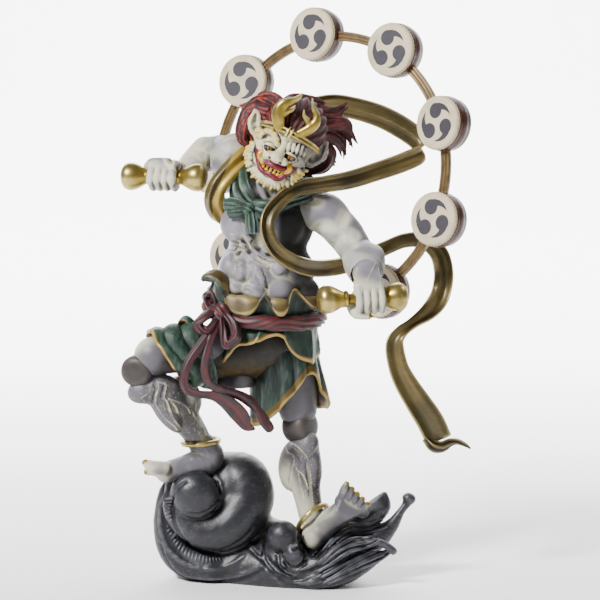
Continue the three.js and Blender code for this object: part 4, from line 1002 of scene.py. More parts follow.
def build_hand(side, centre, front, down, thumb, wrist, seed, reach=4.4, veins=()):
    """A fist round a shaft: a wrist, a back with four tendons, fingers that curl over and a thumb."""
    centre, front, down = (np.array(v, float) for v in (centre, front, down))
    across = club_axis(side)
    wrist, wrist_radius = np.array(wrist[:3], float), wrist[3]
    low = np.minimum(centre - 9, wrist - wrist_radius - 2)
    high = np.maximum(centre + 9, wrist + wrist_radius + 2)
    f = Field(low, high, 0.29)
    f.ball(wrist, (wrist_radius,) * 3)
    f.limb([(*(centre - across * 2.6 - front * 1.4), 2.6), (*(centre + across * 2.6 - front * 1.4), 2.6)],
           k=1)
    for k in (-1.5, -0.5, 0.5, 1.5):
        middle = centre + across * k * 2.3

        def around(degrees, share):
            a = math.radians(degrees)
            return middle + (front * math.cos(a) + down * math.sin(a)) * reach * share

        knuckle = around(-62, 0.93)
        back = mix(wrist, knuckle, 0.55) - front * 0.2
        f.limb([(*wrist, wrist_radius * 0.6), (*back, 2.3), (*knuckle, 1.5)], k=1.6)
        f.limb([(*knuckle, 1.35), (*around(-25, 0.9), 1.15), (*around(5, 0.93), 1.35),
                (*around(35, 0.86), 1.1), (*around(70, 0.8), 1.2), (*around(110, 0.7), 1.05),
                (*around(140, 0.55), 0.8)], k=0.25)
        f.ball(knuckle - down * 0.2, (1.35, 1.3, 1.2), k=0.5)
    f.limb([(*thumb[0], 1.9), (*thumb[1], 1.55), (*thumb[2], 1.2)], k=0.4)
    tip = np.array(thumb[2], float)
    claw = tip + unit(tip - np.array(thumb[1], float)) * 1.3
    f.limb([(*tip, 0.9), (*claw, 0.45)], k=0.2)

    flesh(f"hand_{side}", f, 4, seed, ((-0.5, -0.3, -0.7), -0.6, 0.3), veins=veins,
          extra=lambda shape: mark_nails(shape, [mix(tip, claw, 0.8)], 0.95, 1.3))


CLUB_ENDS = {
    "right": ((-55, 2, 126.4), (-28.7, -5, 126.6)),
    "left": ((5.2, -28.6, 92), (32.6, -23.6, 92.4)),
}


def club_axis(side):
    """The direction of a club towards the viewer's right."""
    return unit(np.subtract(CLUB_ENDS[side][1], CLUB_ENDS[side][0]))


def build_hands():
    build_hand("right", (-41.6, -1.2, 126.6), (-0.26, -0.96, 0), (0, 0, -1),
               ((-46.4, 1.5, 129.4), (-45, -2, 131), (-40.6, -3, 131.4)), (-38, 3.4, 127.4, 3.4), 31)
    build_hand("left", (20.8, -26.4, 92.4), (0.17, -0.95, -0.2), (0.05, 0.1, -1),
               ((16, -24, 89.2), (17, -27.6, 87.6), (20.6, -28.8, 87.2)), (20.4, -20.6, 99.2, 4.5), 32, 4.7,
               HAND_LEFT_VEINS)


SHIN_RIGHT_VEINS = [
    [(152, 382), (150, 390), (147, 394), (141, 398)],
    [(157, 382), (159, 388), (156, 395), (156, 404), (161, 413), (167, 420), (174, 426), (177, 430)],
    [(157, 382), (165, 384), (166, 388), (164, 397), (167, 402), (170, 410), (173, 417), (177, 424),
     (183, 431)],
    [(171, 401), (177, 410), (180, 418)], [(169, 399), (178, 402), (187, 407), (190, 413)],
    [(193, 413), (196, 420), (203, 428), (206, 435)],
]
SHIN_RIGHT_GROOVES = [
    [(154, 384), (156, 389), (154, 396), (153, 404)], [(164, 386), (163, 392), (161, 397)],
    [(166, 401), (168, 409), (170, 416)], [(173, 404), (177, 412)], [(196, 404), (195, 412), (198, 418)],
]
SHIN_LEFT_VEINS = [
    [(292, 443), (298, 447), (304, 453), (308, 459), (310, 469), (311, 481), (312, 492), (313, 505)],
    [(286, 446), (288, 452), (294, 456), (295, 463), (298, 471), (300, 481), (302, 490), (304, 498)],
    [(294, 461), (292, 473), (291, 485), (290, 492)], [(297, 469), (303, 475), (307, 484), (308, 489)],
    [(308, 457), (314, 452), (317, 446)],
]
SHIN_LEFT_GROOVES = [
    [(292, 448), (297, 452), (300, 458), (303, 465)], [(300, 473), (304, 480), (306, 487)],
    [(306, 464), (308, 474), (309, 485), (310, 497)], [(292, 462), (289, 474), (288, 486)],
]


def build_legs():
    j = JOINT

    def thigh_right(f):
        hip = np.array(j["hip_right"], float)
        end = np.array(j["knee_right"], float) + (0, 0, 4)
        f.limb([(*hip, 8.5), (*mix(hip, end, 0.55), 6.4), (*mix(hip, end, 0.8), 5.8), (-45, -14.4, 72.8, 5)],
               k=1)
        f.ball((-45, -14.8, 72.8), (5.4, 5, 5.3), k=3)
        f.ball((-20.8, -7, 62.4), (6.8, 4.8, 4.4), (0, -4, 0), k=1)

    def thigh_left(f):
        hip, end = np.array(j["hip_left"], float), np.array(j["knee_left"], float)
        f.limb([(*hip, 8.5), (*mix(hip, end, 0.55), 7.2), (*mix(hip, end, 0.82), 6)], k=1)

    def shin_right(f):
        f.limb([(-48, -15, 62.2, 4), (-42.2, -12, 61, 5.7), (-33.6, -5, 48.6, 4.2),
                (*j["ankle_right"], 3.8)], k=1)
        f.ball((-49.3, -15.2, 61.4), (3.7, 3.6, 3.3), k=1)
        f.ball((-36.4, -6.5, 58.4), (5.9, 6, 7), (0, -25, 0), k=1)
        f.ball((-41, -13.6, 54.6), (3, 3.2, 7.4), (0, -38, 0), k=0.8)

    def shin_left(f):
        f.limb([(1.4, -2.6, 42, 4.6), (0.8, -1.6, 37, 5.6), (2, -2, 28, 4.4), (*j["ankle_left"], 3.9)], k=1)
        f.ball((-1.8, 0.2, 36), (5, 5.6, 8.4), (0, 6, 0), k=1)
        f.ball((4, -3.4, 37), (2.8, 3.8, 8), (0, -6, 0), k=0.8)
        f.ball((2.4, -5, 42.8), (3.4, 3, 4.6), (0, 20, 0), k=0.8)

    slim = {"stretch": (0.8, 0.8, 1.9), "size": 4.4, "grey": 0.8}
    muscled("thigh_right", (-56, -26, 62), (-7, 9, 86), thigh_right, 41, 0.56,
            pale=((-1, 0, 0.4), 0.75, 1.4), size=26, grey=0.9)
    muscled("thigh_left", (-15, -9, 46), (8, 13, 86), thigh_left, 42, 0.56,
            pale=((-1, 0, -1), 0.8, 1.5), size=26, grey=0.9)
    muscled("shin_right", (-55, -21, 38), (-25, 2, 68), shin_right, 43, 0.35,
            pale=((1, 0, 0.2), 0.1, 0.9), veins=SHIN_RIGHT_VEINS, grooves=SHIN_RIGHT_GROOVES, **slim)
    muscled("shin_left", (-9, -11, 15), (9, 8, 52), shin_left, 44, 0.35,
            pale=((-1, 0, -0.7), -0.15, 0.5), veins=SHIN_LEFT_VEINS, grooves=SHIN_LEFT_GROOVES, **slim)
def build_knees():
    for name, place, radius, width, axis in (
        ("knee_right", JOINT["knee_right"], 4.9, 8, (0.35, 1, 0.05)),
        ("knee_left", (0, -2, 48.7), 5.2, 8.8, (0.8, -0.55, 0.1)),
    ):
        h = width / 2
        half = [(radius, 0.3), (radius - 0.05, h * 0.5), (radius - 0.4, h * 0.76), (radius - 1.1, h * 0.92),
                (radius - 2.2, h * 0.98), (1.4, h), (0, h)]
        piece(name, lathe(mirrored(half), 48, place, axis), "knee")


def build_anklets():
    radius, wire = 5.6, 0.85
    section = oval(round_turn(12), wire, wire)
    a = round_turn(24)
    for name, centre, normal in (
        ("anklet_right", (-30.8, -3.2, 44), (-0.08, 0, 1)),
        ("anklet_left", (3.9, -4, 20.2), (-0.62, 0.42, 0.66)),
    ):
        normal = unit(normal)
        side = unit(np.cross((0, 1, 0), normal))
        back = np.cross(normal, side)
        loop = np.array(centre) + radius * (side * np.cos(a)[:, None] + back * np.sin(a)[:, None])
        piece(name, sweep(loop, lambda t: section, normal, 60, True), "gold")


def roughen(shape, centre, half, seed):
    """Small scales on part of the skin, with pale tops."""
    p = shape.points
    reach = np.linalg.norm((p - np.array(centre)) / np.array(half), axis=1)
    rough = 1 - ease(reach + 0.15 * waves(p, 3, seed), 0.8, 1.15)
    wall = cells(p, 1.0, seed)
    shape.points = p + shape.normals() * (rough * 0.14 * (ease(wall, 0, 0.3) - 0.4))[:, None]
    shape.marks["rough"] = rough * ease(wall, 0.15, 0.35)


def build_foot_right():
    f = Field((-53, -22, 29), (-21, 6, 48), 0.3)
    f.limb([(-30.4, -3.2, 43, 4.2), (-28.6, -2.8, 38.8, 4.9), (-35, -6, 36.6, 3.9), (-41.4, -9, 35.4, 3.4)],
           k=1)
    f.limb([(-42, -11.4, 37, 2.4), (-45.4, -13.4, 38, 2), (-47.6, -14.2, 39.4, 1.1)], k=0.7)
    tips = [(-48, -14.2, 40)]
    for k in (-1, 0, 1, 2):
        back, rise = k * 1.9, -0.3 * k
        f.limb([(-41.8, -8 + back, 35.4, 1.9), (-45.4, -9 + back, 35.8 + rise, 1.5),
                (-47.4, -9.4 + back, 35.6 + rise, 1.0)], k=0.4)
        tips.append((-47.8, -9.4 + back, 36 + rise))

    def extra(shape):
        mark_nails(shape, tips)
        roughen(shape, (-33, -4, 40.5), (8.5, 5, 3.8), 53)

    flesh("foot_right", f, 14, 51, ((-0.7, -0.2, 0.5), 0, 0.9), extra=extra, grey=0.5)


def build_foot_left():
    f = Field((-3, -19, 9), (25, 5, 36), 0.3)
    f.limb([(4.4, -3.4, 18.6, 3.8), (5.2, -5.4, 15, 4.2), (9.2, -7.4, 19.4, 4), (13.8, -9.6, 23.4, 3.8)],
           k=1)
    f.ball((4.6, -7, 14.4), (3.9, 4.6, 4), k=1)
    low, high = ((13.2, -10.6, 26.6), (19.4, -9.4, 23.2)), ((14.4, -12.6, 32.4), (20.9, -11.4, 25.8))
    f.limb([(*low[0], 2.6), (*low[1], 2.2)], k=1)
    tips = []
    for k in range(5):
        toe, tip = mix(low[0], low[1], k / 4), mix(high[0], high[1], k / 4)
        f.limb([(6.4 + 0.7 * k, -10, 20.2 - 0.6 * k, 0.6),
                (*(mix((7, -8, 18), toe, 0.6) + (0, -4, 0.4)), 0.8), (*(toe + (0, -1.4, 0.6)), 1.2)], k=1)
        bend = mix(toe, tip, 0.6) + (-0.3, -0.8, 0)
        f.limb([(*toe, 2), (*bend, 1.6 - 0.08 * k), (*tip, 1.0)], k=0.35)
        tips.append(tip + (0, 0, 0.6))

    flesh("foot_left", f, 60, 52, ((-0.75, -0.1, 0.1), -0.1, 0.9), grey=0.9,
          extra=lambda shape: mark_nails(shape, tips))


# Head, crown and hair, in the head's own axes
EYES = ((-3.7, -7.7, -0.8), (3.2, -7.7, -0.5))
MOUTH_UPPER = [(-6.8, -6.7, -3.6), (-5.2, -8.2, -4.9), (-3.2, -9.4, -5.2), (-0.4, -10.2, -4.9),
               (2.2, -9.9, -4.7), (4.2, -8.8, -4.2), (6.6, -6.6, -3.4)]
MOUTH_LOWER = [(-6.8, -6.7, -3.8), (-5, -7.8, -6.6), (-3, -8.9, -8.2), (-0.2, -9.7, -8),
               (2.5, -10, -8.2), (4.1, -9, -6.2), (6.6, -6.6, -3.6)]
BEARD = [(-9.6, -4, -3.4), (-10, -4.2, -5.6), (-9.2, -4.6, -7.8), (-7.4, -5.4, -9.4), (-5.6, -6.2, -10.6),
         (-3.6, -7, -11.4), (-1.4, -7.6, -11.6), (0.8, -8, -11.5), (3, -8.2, -11), (5, -7.8, -9.4),
         (6.6, -7, -7.4), (7.9, -6, -5.4), (8.7, -5.2, -3.4)]
BROWS = [(-8, -6.6, 0.6), (-7.7, -6.9, 2.2), (-6.6, -7.7, 3.5), (-5.2, -8.3, 4), (-3.9, -8.7, 3.7),
         (-2.7, -9.1, 2.8), (-1.9, -9.3, 1.7)]
RIDGES = [(0.4, -9.4, 1.2), (1.6, -9.3, 2), (2.9, -8.9, 2.4), (4.2, -8.3, 2.5), (5.4, -7.5, 2.3),
          (6.4, -6.6, 1.7)]
TEMPLES = [(-9, -4.6, -0.4), (-9.2, -4.4, 1.6), (-8.4, -5.4, -1.4), (-8.2, -5.6, 0.4), (-9.7, -3.4, 0.6)]
TUSKS = [
    [(-4.9, -8.2, -2.6, 0.5), (-5.7, -8.4, -3.9, 0.75), (-5, -8.8, -5, 0.8), (-3.8, -9.4, -5.6, 0.7)],
    [(4, -9, -2.5, 0.4), (4.5, -9.3, -3.4, 0.7), (4.7, -9.2, -4.4, 0.8), (3.9, -9.3, -5, 0.6)],
]
# The upper and the lower lid, from the middle of an eye.
LIDS = [
    [(-2, -0.6, 0.1), (-1, -1.7, 1.1), (0.4, -1.9, 1.1), (1.9, -0.9, 0.2)],
    [(-2, -0.6, -0.1), (-0.8, -1.7, -1.1), (0.6, -1.7, -1.2), (1.9, -0.9, -0.2)],
]
LID_RADIUS = 0.42


def skull(f):
    """The skull, the jaw, the cheeks, the nose and the eyes with their lids."""
    f.ball((0, 0, 1.4), (8.6, 8.8, 8.4), k=2)
    f.ball((-0.4, -3, -5.4), (8.6, 6.4, 5.6), k=2)
    f.ball((-0.4, -6.4, -3.4), (6, 3.8, 4), k=1.5)
    f.ball((-5.6, -6, -1.6), (3, 2.6, 2.4), k=1)
    f.ball((5, -6, -1.4), (3, 2.6, 2.4), k=1)
    for eye in EYES:
        f.ball(np.add(eye, (0, -0.9, 0)), (2.2, 1.8, 1.5), k=0.8, cut=True)
    f.limb([(-0.2, -8.6, 2.4, 1.2), (0, -9.6, 0, 1.3), (-0.3, -10.8, -1.6, 1.8)], k=0.9)
    f.ball((-0.4, -11.2, -1.8), (2.1, 1.9, 1.6), k=0.6)
    for side, x in ((-1, -2.6), (1, 1.9)):
        f.ball((x, -10.6, -2.2), (1.5, 1.5, 1.35), k=0.4)
        f.ball((x - 0.5 * side, -12.2, -2.6), (0.6, 0.9, 0.5), k=0.15, cut=True)
    for eye in EYES:
        f.ball(eye, (1.75, 1.7, 1.35), k=0.1)
    for eye in EYES:
        for lid in LIDS:
            f.limb([(*np.add(eye, place), LID_RADIUS) for place in lid], k=0.25)


def open_mouth(f):
    """Cuts the mouth and lays in its lips, teeth and tusks. Returns its middle line, places on its lips
    and its teeth."""
    middle = [mix(a, b, 0.5) for a, b in zip(MOUTH_UPPER, MOUTH_LOWER)]
    gape = (0.3, 0.9, 1.5, 1.7, 1.7, 1.1, 0.3)
    f.limb([(*(m + (0, 0.6, 0)), r) for m, r in zip(middle, gape)], k=0.3, cut=True)
    lips = []
    for line in (MOUTH_UPPER, MOUTH_LOWER):
        f.limb([(*p, r) for p, r in zip(line, (0.6, 0.8, 0.9, 0.8, 0.85, 0.85, 0.6))], k=0.3)
        lips.extend(smooth_line(line, 60))
    teeth = []
    for k in range(7):
        upper, lower = (through(line, 0.26 + 0.075 * k)[0] for line in (MOUTH_UPPER, MOUTH_LOWER))
        teeth += [mix(upper, lower, share) + (0, 0.5, 0) for share in (0.33, 0.68)]
    for tooth in teeth:
        f.ball(tooth, (0.52, 0.6, 0.6), k=0.08)
    for tusk in TUSKS:
        f.limb(tusk, k=0.12)
    return middle, lips, teeth


def beard(f):
    """The tufts along the jaw and the curls inside them. Returns their pale tips."""
    middle = np.array((0.2, -4, -3.2))
    tips = []
    for k, place in enumerate(smooth_line(BEARD, 27)):
        out = unit((place - middle) * (1, 0.35, 1))
        tip = place + out * ((0.5, -0.2)[k % 2] + 0.9 * ease(-place[2], 6, 11))
        f.limb([(*(place - out * 3), 0.5), (*(place - out * 1 + (0, -0.5, 0)), 0.72), (*tip, 0.5)], k=0.22)
        tips.append(tip)
    rng = np.random.default_rng(12)
    for ring, (scale, count) in enumerate(((0.95, 24), (0.86, 22), (0.77, 18))):
        for k in range(count):
            place = through(BEARD, (k + 0.5 * ring + rng.uniform(-0.2, 0.2)) / count)[0]
            inner = middle + (place - middle) * (scale, 1, scale) + (0, -0.9 - 0.5 * ring, 0)
            over_mouth = ring > 0 and -7.8 < inner[0] < 5.8 and abs(inner[2] + 6) < 4.4
            below_chin = ring < 2 and inner[2] < -9
            if over_mouth or below_chin:
                continue
            out = unit((place - middle) * (1, 0, 1) + (0, -4, 0)) + (0, 0, -0.5)
            tip = inner + out * 1.1 + rng.normal(size=3) * 0.15
            f.limb([(*inner, 0.75), (*mix(inner, tip, 0.6), 0.6), (*tip, 0.3)], k=0.2)
            tips.append(tip)
    return tips


def brows(f):
    """The knots of the brow and the temple and the ridges above the other eye. Returns the pale tips of
    the knots."""
    for place in BROWS:
        f.ball(place, (0.95, 1.1, 0.95), k=0.3)
    for place in TEMPLES:
        f.ball(place, (0.9, 1, 0.9), k=0.3)
    for x, y, z in RIDGES:
        f.limb([(x - 0.2, y + 0.2, z + 1.4, 0.5), (x, y - 0.2, z, 0.62), (x + 0.1, y + 0.2, z - 1.3, 0.4)],
               k=0.25)
    return [np.array(place) + unit(np.subtract(place, (0, 0, -2))) * 0.6 for place in BROWS + TEMPLES]


def ears(f):
    """The pointed ears with a hollow in each."""
    for side, tip in ((-1, (-13.7, 1, 4.9)), (1, (11, 1, 5.8))):
        root = np.array((side * 8, 0, -1.2))
        bend = mix(root, tip, 0.5) + (side * 0.8, -0.4, -0.8)
        f.limb([(*root, 3), (*bend, 2.4), (*mix(root, tip, 0.8), 1.3), (*tip, 0.3)], k=0.8, flat=0.45,
               thin=(0, 1, 0))
        f.limb([(*(root + (side * 1.2, -1.6, 0)), 1.3), (*(bend + (side * 0.1, -1.2, 0)), 1.1),
                (*(mix(root, tip, 0.82) + (0, -0.7, 0)), 0.4)], k=0.5, cut=True)


def face_marks(shape, middle, lips, teeth, tips):
    """Where the paints of the face go."""
    p, marks = shape.points, shape.marks
    marks["lip"] = 1 - ease(closest(p, lips), 0.85, 1.15)
    tusks = [closest(p, smooth_line(tusk, 12)[:, :3]) for tusk in TUSKS]
    marks["tooth"] = np.max([1 - ease(closest(p, [tooth]), 0.62, 0.8) for tooth in teeth]
                            + [1 - ease(away, 0.85, 1.0) for away in tusks], axis=0)
    throat = closest(p, smooth_line(middle, 30) + (0, 1.2, 0))
    marks["mouth"] = (1 - ease(throat, 1.2, 2.2)) * (marks["lip"] < 0.5) * (marks["tooth"] < 0.5)
    for eye in EYES:
        white = np.linalg.norm((p - np.array(eye) - (0, -1.4, 0)) * (0.7, 1, 1.1), axis=1)
        centre = closest(p, [np.array(eye) + (0.1, -1.7, 0)])
        for name, away, low, high in (("rim", white, 1.28, 1.46), ("iris", centre, 0.75, 0.85),
                                      ("pupil", centre, 0.3, 0.4)):
            marks[name] = np.maximum(marks.get(name, 0), 1 - ease(away, low, high))
    marks["curl"] = 1 - ease(closest(p, tips), 0.4, 1.1)
    marks["shade"] = np.maximum(ease(p[:, 0] + 2 * waves(p, 6, 61), 2.5, 8),
                                ease(p[:, 2] + waves(p, 5, 63), 3, 7) * 0.7)


def build_head():
    f = Field((-15.5, -15, -14), (13.5, 11, 12), 0.245)
    skull(f)
    middle, lips, teeth = open_mouth(f)
    tips = beard(f) + brows(f)
    ears(f)
    shape = f.skin()
    face_marks(shape, middle, lips, teeth, tips)
    shape.points = shape.points + shape.normals() * (0.08 * waves(shape.points, 1.6, 62))[:, None]
    piece("head", shape.moved(HEAD, HEAD_CENTRE), "skin", 0.6, 4.0, ["face"])


def build_crown():
    f = Field((-12.5, -13.5, -1), (12.5, 4, 21), 0.22)
    arc = []
    for a in np.radians(np.linspace(-100, 80, 19)):
        arc.append((9.6 * math.sin(a), 0.2 - 9.8 * math.cos(a), 1.6 + 5.4 * math.cos(a)))
    arc = np.array(arc)
    f.limb([(*p, 0.75) for p in arc], k=0.1, flat=0.55, thin=(0, 1, 0.1))
    for rise in (0.6, -0.6):
        f.limb([(*(p * (1.03, 1.03, 1) + (0, -0.25, rise)), 0.36) for p in arc], k=0.12)
    flames = [
        ([(-3.4, -9.4, 6.4, 1.4), (-4.4, -9.2, 8, 1.9), (-5.4, -8.8, 9.8, 2.1), (-5.8, -8.4, 11.8, 1.9),
          (-5.2, -8, 13.6, 1.6), (-4, -7.4, 15, 1.2), (-2.6, -7, 16.4, 0.9), (-1.9, -6.6, 17.8, 0.55),
          (-1.8, -6.4, 18.8, 0.2)],
         [(-4.6, -8.6, 10.6, 1.4), (-3.4, -8.2, 12, 1), (-2.4, -7.8, 13, 0.7), (-2, -7.4, 14.6, 0.2)]),
        ([(2.2, -9.4, 7, 1.1), (3.8, -9, 8.6, 1.5), (5.2, -8.4, 10.6, 1.6), (5.8, -7.8, 12.8, 1.4),
          (5, -7.2, 14.8, 1.1), (3.6, -7, 16, 0.8), (2.4, -6.6, 17.4, 0.5), (1.7, -6.4, 18.6, 0.2)],
         [(4.6, -8.4, 11, 1.1), (3.4, -8.2, 12.2, 0.9), (1.8, -7.9, 13, 0.6), (0.9, -7.6, 14.6, 0.2)]),
    ]
    for outer, inner in flames:
        f.limb(outer, k=0.4, flat=0.6, thin=(0, 1, 0.2))
        f.limb(inner, k=0.5, flat=0.6, thin=(0, 1, 0.2))
    f.ball((3.6, -9.3, 8.6), (1, 0.7, 0.9), k=0.3)
    for x in (-0.7, 0.5):
        f.limb([(x, -10.4, 5.6, 0.4), (x + 0.1, -10.6, 7, 0.45), (x + 0.4, -10, 8.6, 0.2)], k=0.15)
    piece("crown", f.skin().moved(HEAD, HEAD_CENTRE), "gold", 0.6, 5.0)


LOCKS = [
    [(-9, -4, 145.5, 3), (-14.4, -2, 146.8, 2.7), (-17, -3, 142, 2.3), (-17.2, -3.4, 138.4, 1.7),
     (-15, -3.6, 135.6, 0.3)],
    [(-8, -2, 146, 3.2), (-13, -1, 148.8, 2.4), (-17.6, -0.6, 148.4, 0.3)],
    [(-5, -2, 146, 3.4), (-8, -1, 149.8, 2.8), (-11.6, 0, 150.4, 2), (-13.6, 1, 148, 0.3)],
    [(-3, 0, 145, 4), (-2, 0, 149, 2.6), (4, 1.5, 148.8, 2), (8.6, 3, 147.6, 0.3)],
    [(1, 1, 144, 3.8), (6, 2, 145.6, 2.8), (10.8, 3.5, 145.8, 1.9), (14, 5, 147.6, 0.3)],
    [(3, 1, 141, 3.8), (9, 2.6, 142.6, 2.8), (14, 5, 141.6, 2.2), (16.4, 7, 135.4, 0.3)],
    [(4, 1, 138.6, 3.8), (9, 3, 138.4, 2.6), (12.4, 5, 136.6, 2), (13.8, 6.4, 132.4, 0.3)],
    [(4, 2, 135.6, 3.6), (7.6, 3.4, 133.8, 2.6), (10.4, 5, 129.8, 0.3)],
    [(4, 3, 136, 3.2), (8.4, 4, 133, 2.8), (7, 4, 129.8, 2.4), (3.8, 3.4, 128.2, 1.6),
     (0.8, 2.6, 127.8, 0.4)],
    [(-8, 3, 142, 3.6), (-12.4, 3.6, 142.6, 2.6), (-14.6, 4, 140, 1.8), (-14.4, 4.4, 137, 0.3)],
    [(-6, 4, 143, 4), (-8, 7.4, 142, 3.2), (-8.6, 9.2, 137, 2.2), (-9, 9.8, 132, 0.3)],
    [(-1, 5, 144, 4.4), (-1, 10.6, 141.6, 3.4), (-2, 13, 136, 2.4), (-2.4, 13.6, 130, 0.3)],
    [(4, 5, 141, 4), (6.4, 9, 138.8, 3), (6.6, 11.4, 133.4, 2.2), (5, 12, 128, 0.3)],
]


def build_hair():
    rng = np.random.default_rng(7)
    strands = []
    for lock in LOCKS:
        lock = np.array(lock, float)
        tangent = unit(np.gradient(lock[:, :3], axis=0))
        side = unit(np.cross(tangent, (0.3, 1, 0.2)))
        other = np.cross(tangent, side)
        count = 7
        start = rng.uniform(0, TURN)
        for k in range(count):
            angle = start + TURN * k / count + np.linspace(0, rng.uniform(-0.9, 0.9), len(lock))
            away = lock[:, 3:] * (0.62 if k else 0)
            sideways = side * away * np.cos(angle)[:, None]
            centre = lock[:, :3] + sideways + other * away * np.sin(angle)[:, None]
            radius = lock[:, 3] * rng.uniform(0.42, 0.56) + 0.05
            path = np.column_stack([centre, radius])
            path[-1, :3] += rng.normal(size=3) * 0.7
            strands.append(tube(path, 14, 6, 4, 0.16, twist=rng.uniform(-0.5, 0.5)))
    f = Field((-12, -12, -7), (12, 12, 17), 0.5)
    f.ball((0, 1.8, 5.4), (9.6, 9.4, 9.2))
    cap = f.skin()
    angle = np.arctan2(cap.points[:, 0], cap.points[:, 2] - 2)
    cap.points = cap.points * (1 + 0.03 * np.cos(26 * angle + cap.points[:, 1] * 0.3))[:, None]
    cap.marks["around"] = angle * 1.8
    cap.moved(HEAD, HEAD_CENTRE)
    shape = joined(strands + [cap])
    shape.marks["strand"] = np.abs(2 * shape.marks["around"] - 1)
    shape.marks["lit"] = ease(-shape.points[:, 0], -2, 14)
    shape.marks["relief"] = shape.relief(0.7, 3.2)
    piece("hair", shape, "hair")


# Cloth
def run_of(line):
    """The directions along a flat line."""
    return unit(np.gradient(line, axis=0))


def beside(run):
    """The directions in a plane a quarter turn from others."""
    return np.stack([-run[:, 1], run[:, 0]], 1)


def garment(profile, place, turns, rows, lining_first, hem, folds):
    """Cloth that goes round an axis. profile(angle) gives points (out, up) of its middle line, folds(angle,
    shares) how far it swells there, and place(angle, out, up) carries them into the room."""
    turns = int(turns / COARSER)
    shares = np.linspace(0, 1, rows)
    rings = []
    tips = []
    for angle in round_turn(turns):
        line = through(profile(angle), shares)
        line = line + beside(run_of(line)) * folds(angle, shares)[:, None]
        run = run_of(line)
        half = beside(run) * CLOTH / 2
        tip = line[-1] + run[-1] * CLOTH * 0.45
        root = line[0] - run[0] * CLOTH * 0.45
        ring = np.concatenate([line + half, [tip], (line - half)[::-1], [root]])
        rings.append(place(angle, ring[:, 0], ring[:, 1]))
        from_hem = np.linalg.norm(line - line[-1], axis=1)
        tips.append(np.concatenate([from_hem, [0], from_hem[::-1], [9]]))
    shape = rings_shape(rings, True)
    one = np.concatenate([np.ones(rows), [0.5], np.zeros(rows), [0.5]])
    shape.marks["lining"] = np.tile(one if lining_first else 1 - one, turns)
    shape.marks["hem"] = 1 - ease(np.array(tips).ravel(), hem * 0.8, hem * 1.1)
    return shape


def compass(values, angle):
    """A smooth value round a circle."""
    return through(values, [angle / TURN % 1], True)[0]


def trouser(start, end, up, profile, hem, folds):
    """Cloth round a leg from one place to another."""
    start = np.array(start, float)
    axis = unit(np.subtract(end, start))
    top = unit(np.array(up) - (np.array(up) @ axis) * axis)
    side = np.cross(axis, top)

    def place(angle, out, s):
        spoke = top * math.cos(angle) + side * math.sin(angle)
        return start + axis * s[:, None] + spoke * out[:, None]

    return garment(profile, place, 210, 38, True, hem, folds)


def curl_of_cloth(stations, gold, flat=0.65):
    """A rolled corner of cloth that shows its lining on one side."""
    made = tube(stations, 36, 12, 3, 0.14, flat, (0, 1, 0), 0.3)
    made.marks["lining"] = ease(made.normals() @ unit(gold), 0.3, 0.5)
    made.marks["hem"] = 1 - ease(np.abs(made.normals() @ unit(gold) - 0.3), 0.1, 0.25)
    return made


